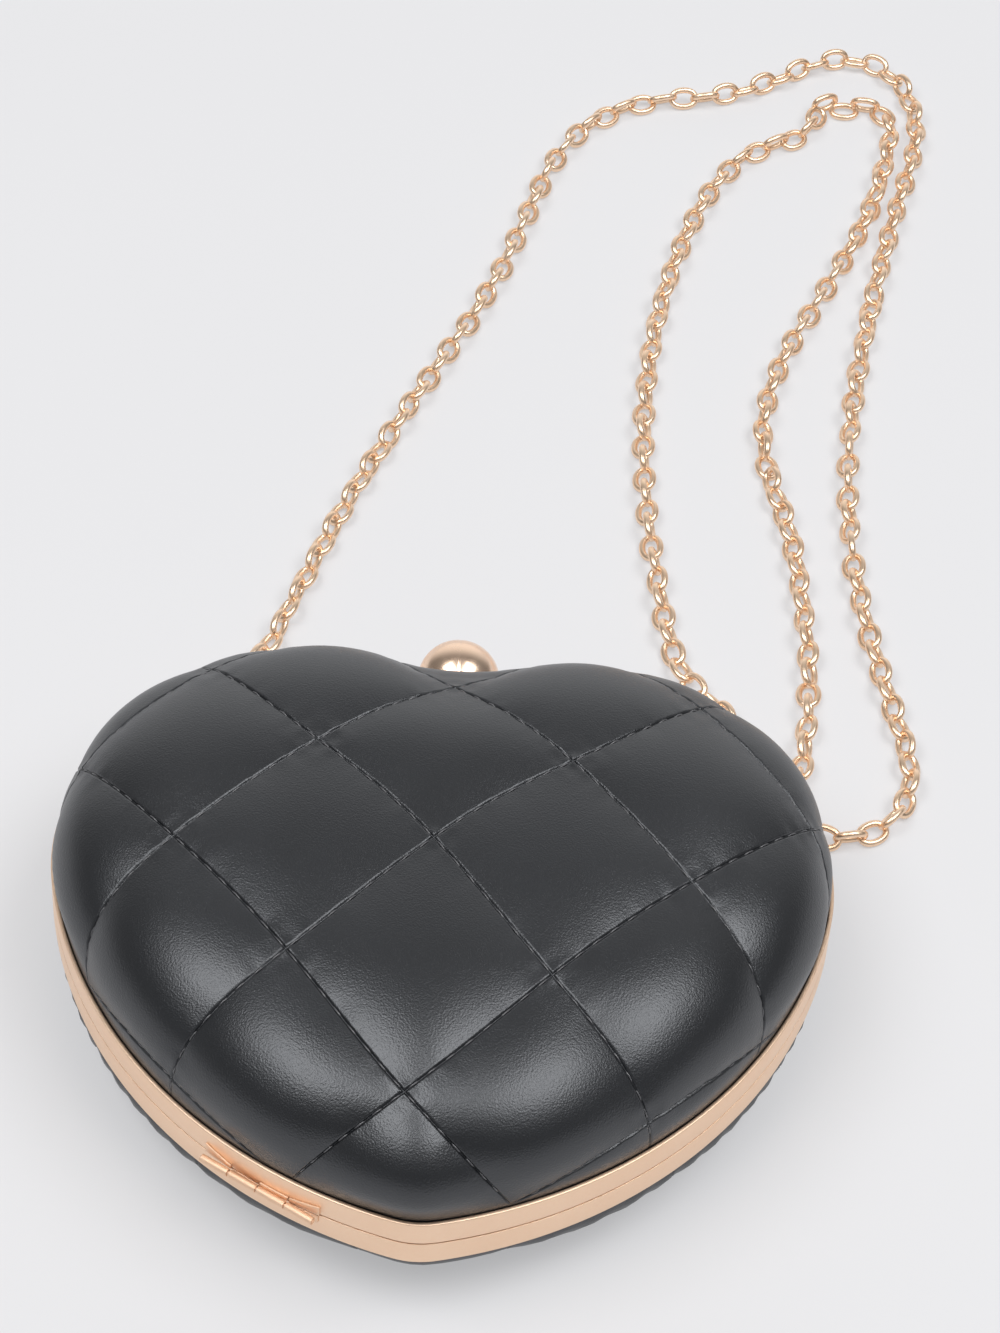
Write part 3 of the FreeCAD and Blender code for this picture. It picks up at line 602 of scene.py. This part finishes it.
def quilted_sheet(count, drop, wrap, fullness, roll):
    """Points of the quilted leather over a square of diamonds, and the faces that reach inside the rim."""
    lines = (np.arange(QUILT_FIRST, QUILT_LAST)[:, None] + quilt_steps(count)).ravel()
    right, left = np.meshgrid(lines, lines, indexing="ij")
    base, outward, rim = quilt_surface(right, left, wrap)
    inside = rim > -ROOT_DEPTH
    height = (quilt_height(right, left, rim, fullness, roll) - drop) * inside
    points = base + outward * height[..., None]
    faces = grid_faces(len(lines), len(lines))[:, ::-1]
    faces = faces[inside.ravel()[faces].any(axis=1)]
    used, numbers = np.unique(faces, return_inverse=True)
    return points.reshape(-1, 3)[used], numbers.reshape(-1, 4)


def to_front(points, depth=0.0):
    """Set on the front of the frame. Nothing presses it flat, so its depth plays no part."""
    return points + [0.0, 0.0, FRONT_EDGE_Z]


def to_back(points, depth=0.0):
    """Turned over about Y onto the back of the frame, and pressed flat at its depth over the table."""
    turned = points * [-1.0, 1.0, -1.0] + [0.0, 0.0, BACK_EDGE_Z]
    turned[..., 2] = np.maximum(turned[..., 2], TABLE_CLEARANCE + depth)
    return turned


def thicken(piece, thickness_mm):
    """Gives a sheet its thickness towards the inside."""
    wall = piece.modifiers.new("thickness", "SOLIDIFY")
    wall.thickness = thickness_mm * MM
    wall.offset = -1.0


# For each half: its wrap, its place, how full its quilting is, and how far its rim rolls out
HALVES = {"front": (front_wrap, to_front, 1.0, 0.0), "back": (back_wrap, to_back, 0.45, 1.55)}
print("diamonds", (QUILT_LAST - QUILT_FIRST) ** 2, "before the rim cuts them")

# %% [markdown]
# ## Leather
# Coated leather: a split hide under a thin film of dark resin, embossed with a fine pebble, then pressed.
# The film gives a broad soft gloss, and the pebble breaks it into a fine sparkle.

# %% Leather finish
# The pebble is about 0.25 mm on the hide. It is drawn at 0.36 mm, so that it shows.
GRAIN_MM, GRAIN_HEIGHT_MM = 0.36, 0.1
CREASE_MM = GRAIN_MM * 1.3
HIDE_CLOUD_MM = 24
leather, tree = new_finish("coated_leather")
place = add(tree, "ShaderNodeTexCoord").outputs["Object"]
pebble = add(tree, "ShaderNodeTexVoronoi", {"Vector": place, "Scale": MM_PER_M / GRAIN_MM},
             feature="SMOOTH_F1")
crease = add(tree, "ShaderNodeTexNoise", {"Vector": place, "Scale": MM_PER_M / CREASE_MM, "Detail": 2.0})
cloud = add(tree, "ShaderNodeTexNoise", {"Vector": place, "Scale": MM_PER_M / HIDE_CLOUD_MM, "Detail": 3.0})
shade = add(tree, "ShaderNodeMix", {0: cloud.outputs["Fac"], 6: linear("#090A0D"), 7: linear("#101216")},
            data_type="RGBA")
gloss = add(tree, "ShaderNodeMapRange", {"Value": cloud.outputs["Fac"], "To Min": 0.31, "To Max": 0.39})
grain = add(tree, "ShaderNodeMath", {0: pebble.outputs["Distance"], 1: crease.outputs["Fac"]},
            operation="ADD")
bump = add(tree, "ShaderNodeBump", {
    "Height": grain.outputs[0], "Strength": 0.45, "Distance": GRAIN_HEIGHT_MM * MM})
surface = add(tree, "ShaderNodeBsdfPrincipled", {
    "Base Color": shade.outputs[2], "Roughness": gloss.outputs[0], "Normal": bump.outputs[0], "IOR": 1.5,
    "Specular IOR Level": 0.95, "Specular Tint": linear("#F7FAFF")})
add(tree, "ShaderNodeOutputMaterial", {"Surface": surface.outputs[0]})
print("pebble", GRAIN_MM, "mm")

# %% Covers
COVER_THICKNESS = 0.9
for half, (wrap, place_half, fullness, roll) in HALVES.items():
    points, faces = quilted_sheet(COVER_STEPS, 0.0, wrap, fullness, roll)
    name = half + "_quilted_cover"
    cover = new_piece(name, place_half(points), [faces], leather, half + "_half")
    thicken(cover, COVER_THICKNESS)
    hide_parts(half + "_cover")

# %% [markdown]
# ## Foam
# Open cell foam lies under the leather and gives the quilting its body. It shows only if the leather is
# lifted, so its sheet has fewer squares.

# %% Foam finish and sheets
# Cells of about 0.8 mm, cut through: a pale matt surface full of small shadows
FOAM_STEPS, FOAM_DROP, FOAM_THICKNESS, FOAM_CELL_MM = 12, 1.2, 0.9, 0.8
foam = speckled_finish("open_cell_foam", "ShaderNodeTexVoronoi", "Distance", FOAM_CELL_MM,
                       "#B9B4A6", "#DCD8CC", {"Roughness": 0.9})
for half, (wrap, place_half, fullness, roll) in HALVES.items():
    points, faces = quilted_sheet(FOAM_STEPS, FOAM_DROP, wrap, fullness, roll)
    placed = place_half(points, FOAM_DROP)
    padding = new_piece(half + "_quilting_foam", placed, [faces], foam, half + "_half")
    thicken(padding, FOAM_THICKNESS)
    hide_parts(half + "_padding")

# %% [markdown]
# ## Stitches
# Bonded thread shows as short dashes that dip into the leather at each hole. Every dash is the same little
# rod of a few dozen faces, bent over the dome, so all of them come from one array.

# %% Thread finish
# Bonded polyester: two plies under a wax, so it is a little lighter than the leather and glints
PLY_MM = 0.35
thread = speckled_finish("bonded_thread", "ShaderNodeTexNoise", "Fac", PLY_MM,
                         "#2A2A2D", "#5A5A5E", {"Roughness": 0.34, "Specular IOR Level": 1.0})
print("thread finish", len(thread.node_tree.nodes), "nodes")

# %% Stitches along the seams
STITCH_LENGTH, THREAD = 3.2, 0.42
STITCH_DIP, STITCH_RISE = 0.12, 0.42
STITCH_STATIONS, STITCH_SIDES = 6, 6
STITCH_RIM = 1.2


def stitches(wrap, fullness, roll):
    """Rods along every seam, for t from -1 to 1: they rise as cos(pi t/2) and close as (1 - t^6)^0.5."""
    seam = np.arange(QUILT_FIRST, QUILT_LAST)
    number = np.arange(QUILT_FIRST * STITCHES_PER_SIDE, QUILT_LAST * STITCHES_PER_SIDE)
    middle = (number + 0.5) / STITCHES_PER_SIDE
    share = np.linspace(-1, 1, STITCH_STATIONS)
    across = np.broadcast_to(seam[:, None, None], (len(seam), len(middle), STITCH_STATIONS)).astype(float)
    along = np.broadcast_to(middle[None, :, None] + share * STITCH_LENGTH / 2 / QUILT_PITCH, across.shape)
    right = np.concatenate([across, along]).reshape(-1, STITCH_STATIONS)
    left = np.concatenate([along, across]).reshape(-1, STITCH_STATIONS)
    base, outward, rim = quilt_surface(right, left, wrap)
    kept = (rim > STITCH_RIM).all(axis=1)
    base, outward, rim, right, left = base[kept], outward[kept], rim[kept], right[kept], left[kept]
    leather_height = quilt_height(right, left, rim, fullness, roll)
    lift = leather_height - STITCH_DIP + STITCH_RISE * np.cos(math.pi / 2 * share)
    line = base + outward * lift[..., None]
    way = unit(np.gradient(line, axis=1))
    side = unit(np.cross(way, outward))
    spin = np.arange(STITCH_SIDES) * 2 * math.pi / STITCH_SIDES
    radius = THREAD / 2 * np.maximum(1 - np.abs(share) ** 6, 0.05) ** 0.5
    ring = np.cos(spin)[:, None] * side[:, :, None] + np.sin(spin)[:, None] * np.cross(way, side)[:, :, None]
    return line[:, :, None] + radius[:, None, None] * ring


stitch_corners = STITCH_STATIONS * STITCH_SIDES
first_end = np.array([[0, 3, 2, 1], [0, 5, 4, 3]])
last_end = stitch_corners - STITCH_SIDES + first_end[:, ::-1]
stitch_tube = grid_faces(STITCH_STATIONS, STITCH_SIDES, close_columns=True)[:, ::-1]
stitch_faces = np.concatenate([stitch_tube, first_end, last_end])
for half, (wrap, place_half, fullness, roll) in HALVES.items():
    rods = place_half(stitches(wrap, fullness, roll))
    faces = copies(stitch_faces, stitch_corners, len(rods))
    new_piece(half + "_stitches", rods.reshape(-1, 3), [faces], thread, half + "_half")
    print(half, "stitches", len(rods))

# %% [markdown]
# ## Frame bands
# Each half is held in a channel of thin metal that was rolled to its section and then bent round the heart.
# Its section is carried round the outline, and every corner of it is an arc, so the edges catch the light.
# The bands are a hair lower than their solids, so that the seam between them shows as a dark line.

# %% Section of a band
BAND_HEIGHT, FRAME_WALL, FRAME_WEB, FRAME_INNER_WALL, FRAME_WIDTH = 6.28, 1.0, 1.0, 0.8, 6.6
SEAM_EDGE, BAND_EDGE, CHANNEL_CORNER = 0.12, 0.3, 0.1


def rounded_profile(corners, radii, steps=5):
    """A closed profile whose corners become arcs, which start at radius times tan of half the turn."""
    corners = np.array(corners, float)
    arrive = unit(corners - np.roll(corners, 1, axis=0))
    leave = unit(np.roll(corners, -1, axis=0) - corners)
    turn = np.arctan2(arrive[:, 0] * leave[:, 1] - arrive[:, 1] * leave[:, 0], (arrive * leave).sum(axis=1))
    radius = np.array(radii)
    start = corners - arrive * (radius * np.tan(np.abs(turn) / 2))[:, None]
    inward = np.sign(turn)[:, None] * np.stack([-arrive[:, 1], arrive[:, 0]], axis=1)
    centre = start + inward * radius[:, None]
    swing = np.linspace(0, 1, steps) * turn[:, None]
    spoke = (start - centre)[:, None]
    c, s = np.cos(swing), np.sin(swing)
    arc = np.stack([c * spoke[..., 0] - s * spoke[..., 1], s * spoke[..., 0] + c * spoke[..., 1]], axis=-1)
    return (centre[:, None] + arc).reshape(-1, 2)


def sweep_heart(profile):
    """Carries a profile of (outward, up) round the heart's outline."""
    ring = heart_points[:, None] + heart_outward[:, None] * profile[None, :, :1]
    rise = np.broadcast_to(profile[:, 1], ring.shape[:2])
    points = np.concatenate([ring, rise[..., None]], axis=-1)
    return points.reshape(-1, 3), grid_faces(len(heart_points), len(profile), True, True)[:, ::-1]


band_profile = rounded_profile(
    [(0, -BAND_HEIGHT), (0, 0), (-FRAME_WALL, 0), (-FRAME_WALL, FRAME_WEB - BAND_HEIGHT),
     (FRAME_INNER_WALL - FRAME_WIDTH, FRAME_WEB - BAND_HEIGHT), (FRAME_INNER_WALL - FRAME_WIDTH, 0),
     (-FRAME_WIDTH, 0), (-FRAME_WIDTH, -BAND_HEIGHT)],
    [SEAM_EDGE, BAND_EDGE, BAND_EDGE, CHANNEL_CORNER, CHANNEL_CORNER, BAND_EDGE, BAND_EDGE, BAND_EDGE])
print("section of", len(band_profile), "points")

# %% Bands
for half, (wrap, place_half, fullness, roll) in HALVES.items():
    points, faces = sweep_heart(band_profile)
    band = new_piece(half + "_band", place_half(points), [faces], satin_gold, half + "_half")
    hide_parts(half + "_frame")

# %% [markdown]
# ## Hinge
# Four short barrels turn on one pin, two on each half. A barrel is a section turned about the pin, with its
# ends rounded off. Small leaves lie on the bands beside the barrels, and the front ones flare at the ends of
# the hinge.

# %% Line of the hinge
HINGE_TURN = math.radians(240)
HINGE_REACH = 1.2
KNUCKLE_LENGTH, KNUCKLE_GAP, KNUCKLE_RADIUS, KNUCKLE_BORE = 7.0, 0.25, 0.9, 0.55
BARREL_LENGTH = KNUCKLE_LENGTH - KNUCKLE_GAP
BARREL_SIDES, BORE_EDGE, BARREL_EDGE = 28, 0.1, 0.2
hinge_out = np.array([math.cos(HINGE_TURN), math.sin(HINGE_TURN), 0.0])
hinge_along = np.array([-math.sin(HINGE_TURN), math.cos(HINGE_TURN), 0.0])
up = np.array([0.0, 0.0, 1.0])
hinge_middle = np.array([-SIDE[0], SIDE[1], SEAM_Z]) + hinge_out * (SIDE_RADIUS + HINGE_REACH)
hinge_start = hinge_middle - hinge_along * 2 * KNUCKLE_LENGTH
print("hinge from", hinge_start.round(2))


# %% Barrels
def turned(profile, start, along, first, sides):
    """A closed profile of (distance along, radius) turned about a line; first is where the turn begins."""
    second = np.cross(along, first)
    spin = np.arange(sides) * 2 * math.pi / sides
    ray = np.cos(spin)[:, None] * first + np.sin(spin)[:, None] * second
    points = start + profile[None, :, :1] * along + profile[None, :, 1:] * ray[:, None]
    return points.reshape(-1, 3), grid_faces(sides, len(profile), True, True)[:, ::-1]


barrel_profile = rounded_profile(
    [(0, KNUCKLE_BORE), (BARREL_LENGTH, KNUCKLE_BORE), (BARREL_LENGTH, KNUCKLE_RADIUS), (0, KNUCKLE_RADIUS)],
    [BORE_EDGE, BORE_EDGE, BARREL_EDGE, BARREL_EDGE])
print("barrel", BARREL_LENGTH, "mm long")


# %% Leaves
LEAF_STATIONS, LEAF_THICKNESS, LEAF_FOOT = 7, 0.45, 0.2


def leaf(low_at, high_at, low_rise, high_rise):
    """A small plate on the band from one place along the hinge to another, as high or low as the two rises.

    Its back follows the side's arc, which falls away from the hinge line by at^2 / (2 radius).
    """
    at = np.linspace(low_at, high_at, LEAF_STATIONS)
    rise = np.interp(at, [low_at, high_at], [low_rise, high_rise])
    foot = LEAF_FOOT * np.sign(rise)
    bottom, top = np.minimum(foot, rise), np.maximum(foot, rise)
    inner = -HINGE_REACH - (at - 2 * KNUCKLE_LENGTH) ** 2 / (2 * SIDE_RADIUS)
    outer = inner + LEAF_THICKNESS
    reach = np.stack([inner, outer, outer, inner], axis=1)
    height = np.stack([bottom, bottom, top, top], axis=1)
    points = (hinge_start + at[:, None, None] * hinge_along + reach[..., None] * hinge_out
              + height[..., None] * up)
    ends = np.array([[0, 1, 2, 3], [3, 2, 1, 0]]) + [[0], [4 * (LEAF_STATIONS - 1)]]
    return points.reshape(-1, 3), np.concatenate([grid_faces(LEAF_STATIONS, 4, close_columns=True), ends])


def joined(shapes):
    """The points and the faces of several shapes, one after the other."""
    starts = np.cumsum([0] + [len(points) for points, _ in shapes])
    return (np.concatenate([points for points, _ in shapes]),
            np.concatenate([faces + start for start, (_, faces) in zip(starts, shapes)]))


def barrel(number):
    """One barrel of the hinge, counted from its start."""
    start = hinge_start + hinge_along * (number * KNUCKLE_LENGTH + KNUCKLE_GAP / 2)
    return turned(barrel_profile, start, hinge_along, up, BARREL_SIDES)


# For each half: which barrels it has, and where its leaves start, end and how far they rise at either end
HINGE_SHAPES = {
    "front": ([0, 2], [(0.0, 6.8, 2.9, 1.2), (14.1, 20.9, 1.5, 1.4), (21.2, 28.2, 1.5, 2.9)]),
    "back": ([1, 3], [(7.1, 13.9, -2.4, -2.4), (21.1, 27.9, -2.4, -2.4)]),
}
HINGE_BEVEL = 0.12
for half, (barrels, leaves) in HINGE_SHAPES.items():
    points, faces = joined([barrel(number) for number in barrels] + [leaf(*place) for place in leaves])
    knuckles = new_piece(half + "_hinge_barrels", points, [faces], matt_gold, half + "_half")
    edge = knuckles.modifiers.new("soft edges", "BEVEL")
    edge.width = HINGE_BEVEL * MM
    edge.segments = 2
    edge.limit_method = "ANGLE"
    edge.angle_limit = math.radians(50)
    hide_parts(half + "_knuckles")

# %% [markdown]
# ## Ball of the clasp
# Two stamped half balls are joined on an upright seam, buffed and plated. The ball is a section turned about
# the line from one pole to the other, with a fine groove where the halves meet.

# %% Ball
BALL_RADIUS, BALL_MIDDLE = 9.4, np.array([0.0, 76.955, 25.6])
BALL_SEAM, BALL_SEAM_WIDTH = 0.1, 0.16


def ball_points(rings, sides):
    """Rings from pole to pole about X, close together at the seam, where the radius dips by a narrow bell."""
    even = np.linspace(-1, 1, rings)
    latitude = math.pi / 2 * (0.35 * even + 0.65 * even**3)
    dip = BALL_SEAM * np.exp(-((latitude * BALL_RADIUS / BALL_SEAM_WIDTH) ** 2))
    spin = np.arange(sides) * 2 * math.pi / sides
    around = np.stack([np.zeros(sides), np.cos(spin), np.sin(spin)], axis=1)
    radius = (BALL_RADIUS - dip)[:, None, None]
    out, across = np.cos(latitude)[:, None, None], np.sin(latitude)[:, None, None]
    body = radius * (out * around + across * [1.0, 0.0, 0.0])
    poles = np.array([[-BALL_RADIUS, 0.0, 0.0], [BALL_RADIUS, 0.0, 0.0]])
    return BALL_MIDDLE + np.concatenate([body[1:-1].reshape(-1, 3), poles])


BALL_RINGS, BALL_SIDES = 83, 96
ball_body = grid_faces(BALL_RINGS - 2, BALL_SIDES, close_columns=True)[:, ::-1]
left_pole = (BALL_RINGS - 2) * BALL_SIDES
first_ring = np.arange(BALL_SIDES)
last_ring = left_pole - BALL_SIDES + first_ring
ball_faces = [ball_body, fan(left_pole, first_ring[::-1]), fan(left_pole + 1, last_ring)]
ball_body_points = ball_points(BALL_RINGS, BALL_SIDES)
ball = new_piece("plated_ball", ball_body_points, ball_faces, mirror_gold, "clasp")
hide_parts("clasp_ball")

# %% [markdown]
# ## Linings
# Each half is lined with satin that is stretched over the shell and tucked into the frame with small pleats.
# A sheet on rays and rings follows the inside of the shell, and its pleats grow towards the rim.

# %% Lining finish
# Satin weave: floats of 0.9 and 0.7 mm as drawn, coarser than the real thread so that they show
RIB_MM, WEFT_MM = 0.9, 0.7
lining_cloth, tree = new_finish("satin_weave_lining")
place = add(tree, "ShaderNodeTexCoord").outputs["Object"]
rib = add(tree, "ShaderNodeTexWave", {
    "Vector": place, "Scale": MM_PER_M / RIB_MM / (2 * math.pi), "Distortion": 0.6}, bands_direction="X")
weft = add(tree, "ShaderNodeTexWave", {
    "Vector": place, "Scale": MM_PER_M / WEFT_MM / (2 * math.pi), "Distortion": 0.6}, bands_direction="Y")
weave = add(tree, "ShaderNodeMath", {0: rib.outputs["Fac"], 1: weft.outputs["Fac"]}, operation="MULTIPLY")
shade = add(tree, "ShaderNodeMix", {0: weave.outputs[0], 6: linear("#141416"), 7: linear("#232326")},
            data_type="RGBA")
bump = add(tree, "ShaderNodeBump", {"Height": weave.outputs[0], "Strength": 0.4, "Distance": 0.0001})
surface = add(tree, "ShaderNodeBsdfPrincipled", {
    "Base Color": shade.outputs[2], "Roughness": 0.5, "Normal": bump.outputs[0], "Sheen Weight": 0.3})
add(tree, "ShaderNodeOutputMaterial", {"Surface": surface.outputs[0]})
print("lining finish", len(tree.nodes), "nodes")

# %% Lining sheets
LINING_INSET, LINING_DROP, LINING_THICKNESS = 5.15, 5.9, 0.4
LINING_RAYS, LINING_RINGS = 288, 36
PLEAT, PLEATS, PLEAT_REACH = 0.16, 61, 0.1
LINING_FLAT = {"front": 0.2, "back": 0.7}


def lining_sheet(height, shoulder, roundness, flat):
    """A dome on rays and rings, s and z as the cover's, cut flat at its crown.

    Near the rim, pleats draw it inward by (1 - cos(61 a))/2.
    """
    angle = np.arange(LINING_RAYS) * 2 * math.pi / LINING_RAYS
    turn = np.linspace(math.pi / 2, 0, LINING_RINGS + 1)[1:]
    share = np.append(np.cos(turn) ** (2 / shoulder), 1.0)
    rise = np.append(np.minimum(height * np.sin(turn) ** (2 / roundness), height - flat), -ROOT_DEPTH)
    pleat = PLEAT * (1 - np.cos(PLEATS * angle)) / 2
    near_rim = np.exp(-(1 - share) / PLEAT_REACH) * (rise > 0)
    across = share[:, None] * (heart_reach(angle, LINING_INSET) - near_rim[:, None] * pleat)
    x, y = across * np.cos(angle), DOME_Y + across * np.sin(angle)
    body = np.stack([x, y, np.broadcast_to(rise[:, None], x.shape)], axis=-1)
    crown = np.array([[0.0, DOME_Y, height - flat]])
    return np.concatenate([body.reshape(-1, 3), crown])


lining_squares = grid_faces(LINING_RINGS + 1, LINING_RAYS, close_columns=True)
crown_number = (LINING_RINGS + 1) * LINING_RAYS
lining_faces = [lining_squares, fan(crown_number, np.arange(LINING_RAYS))]
for half, flat in LINING_FLAT.items():
    height, *bend = DOMES[half]
    points = lining_sheet(height - LINING_DROP, *bend, flat)
    wrap, place_half, fullness, roll = HALVES[half]
    name = half + "_satin_lining"
    lining = new_piece(name, place_half(points), lining_faces, lining_cloth, half + "_half")
    thicken(lining, LINING_THICKNESS)
    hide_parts(half + "_lining")

# %% [markdown]
# ## Solids that stay
# The shells, the pins, the rivets, the lever, the eyes and the rings are right as solids. They get the finish
# of their slot.

# %% Shell finish and the finishes of the solids
# Moulded shell: vacuum formed sheet, matt, with a fine even texture
PORE_MM = 0.6
shell_plastic = speckled_finish("moulded_shell", "ShaderNodeTexNoise", "Fac", PORE_MM,
                                "#262626", "#3A3A3A", {"Roughness": 0.6})
KEPT = {
    "hinge_gold": satin_gold, "clasp_gold": mirror_gold, "hardware_gold": mirror_gold,
    "chain_gold": link_gold, "spring_steel": spring_steel, "shell_plastic": shell_plastic,
    "lining_fabric": lining_cloth, "frame_gold": satin_gold, "quilted_leather": leather, "foam": foam,
}
for part in frame["record"]["subparts"]:
    solid = nodes[part["node"]]
    solid.data.materials.clear()
    solid.data.materials.append(KEPT[part["material_slot"]])
print("finishes", len(bpy.data.materials))

# %% [markdown]
# ## Table and light
# A plain pale table stands in a dim white surround with two large softboxes high on either side, and a pale
# backdrop behind it. Half of the table's paleness is its own, as on a light table, but only to the camera and
# to what mirrors it. So its shadows stay pale, and the clutch gets no light from it.

# %% Table
TABLE_GLOW = 0.5
TABLE_RADIUS, TABLE_SIDES, MOTTLE_MM = 20.0, 96, 400
table_finish, tree = new_finish("pale_table")
place = add(tree, "ShaderNodeTexCoord").outputs["Object"]
mottle = add(tree, "ShaderNodeTexNoise", {"Vector": place, "Scale": MM_PER_M / MOTTLE_MM})
shade = add(tree, "ShaderNodeMix", {0: mottle.outputs["Fac"], 6: linear("#E1E1E3"), 7: linear("#E5E5E7")},
            data_type="RGBA")
lit = add(tree, "ShaderNodeBsdfPrincipled", {"Base Color": shade.outputs[2], "Roughness": 0.8})
glowing = add(tree, "ShaderNodeEmission", {"Color": shade.outputs[2], "Strength": 1.0})
path = add(tree, "ShaderNodeLightPath")
mirrored = add(tree, "ShaderNodeMath", {
    0: path.outputs["Is Glossy Ray"], 1: path.outputs["Is Transmission Ray"]}, operation="MAXIMUM")
seen = add(tree, "ShaderNodeMath", {
    0: path.outputs["Is Camera Ray"], 1: mirrored.outputs[0]}, operation="MAXIMUM")
glow = add(tree, "ShaderNodeMath", {0: seen.outputs[0], 1: TABLE_GLOW}, operation="MULTIPLY")
surface = add(tree, "ShaderNodeMixShader", {0: glow.outputs[0], 1: lit.outputs[0], 2: glowing.outputs[0]})
add(tree, "ShaderNodeOutputMaterial", {"Surface": surface.outputs[0]})
table_mesh = bpy.data.meshes.new("table")
spin = np.arange(TABLE_SIDES) * 2 * math.pi / TABLE_SIDES
rim_points = TABLE_RADIUS * np.stack([np.cos(spin), np.sin(spin), 0 * spin], axis=1)
table_mesh.from_pydata(rim_points.tolist(), [], [list(range(TABLE_SIDES))])
table_mesh.materials.append(table_finish)
table = bpy.data.objects.new("table", table_mesh)
bpy.context.scene.collection.objects.link(table)
print("table", 2 * TABLE_RADIUS, "m across")

# %% Surround
SURROUND, BACKDROP, BACKDROP_START, GLOW = 0.20, 0.85, 0.45, 0.6
GLOW_MIDDLE, GLOW_REACH = (0.1, -0.25, 0.95), (1.3, 0.8, 0.8)
world = bpy.data.worlds.new("surround")
world.use_nodes = True
tree = world.node_tree
tree.nodes.clear()
place = add(tree, "ShaderNodeTexCoord").outputs["Generated"]
depth = add(tree, "ShaderNodeSeparateXYZ", {0: place})
backdrop = add(tree, "ShaderNodeMapRange", {
    "Value": depth.outputs["Y"], "From Min": BACKDROP_START, "From Max": 1.0,
    "To Min": SURROUND, "To Max": SURROUND + BACKDROP}, interpolation_type="SMOOTHSTEP")
apart = add(tree, "ShaderNodeVectorMath", {0: place, 1: GLOW_MIDDLE}, operation="SUBTRACT")
share = add(tree, "ShaderNodeVectorMath", {0: apart.outputs[0], 1: GLOW_REACH}, operation="DIVIDE")
away = add(tree, "ShaderNodeVectorMath", {0: share.outputs[0]}, operation="LENGTH")
glow = add(tree, "ShaderNodeMapRange", {
    "Value": away.outputs["Value"], "From Min": 0.0, "From Max": 1.0, "To Min": GLOW, "To Max": 0.0},
    interpolation_type="SMOOTHSTEP")
light = add(tree, "ShaderNodeMath", {0: backdrop.outputs[0], 1: glow.outputs[0]}, operation="ADD")
surround = add(tree, "ShaderNodeBackground", {"Color": linear("#FFFFFF"), "Strength": light.outputs[0]})
add(tree, "ShaderNodeOutputWorld", {"Surface": surround.outputs[0]})
bpy.context.scene.world = world
print("surround", SURROUND, "to", SURROUND + BACKDROP)


# %% Soft light
SOFTBOX_SIZE_M, SOFTBOX_POWER_W = (1.9, 1.2), 32.0
SOFTBOX_AIM_M = np.array([0.0, 0.0, 0.04])


def softbox(name, place_m):
    """A rectangular lamp at a place, facing the clutch."""
    lamp = bpy.data.lights.new(name, "AREA")
    lamp.shape = "RECTANGLE"
    lamp.size, lamp.size_y = SOFTBOX_SIZE_M
    lamp.energy = SOFTBOX_POWER_W
    piece = bpy.data.objects.new(name, lamp)
    back = unit(np.array(place_m) - SOFTBOX_AIM_M)
    side = unit(np.cross([0.0, 0.0, 1.0], back))
    turn = np.eye(4)
    turn[:3, :3] = np.stack([side, np.cross(back, side), back], axis=1)
    turn[:3, 3] = place_m
    piece.matrix_world = Matrix(turn.tolist())
    bpy.context.scene.collection.objects.link(piece)


softbox("left_softbox", (-1.02, -0.44, 2.40))
softbox("right_softbox", (1.15, -0.28, 2.32))
bpy.context.scene.view_settings.view_transform = "Standard"
print("lamps", [lamp.name for lamp in bpy.data.lights])
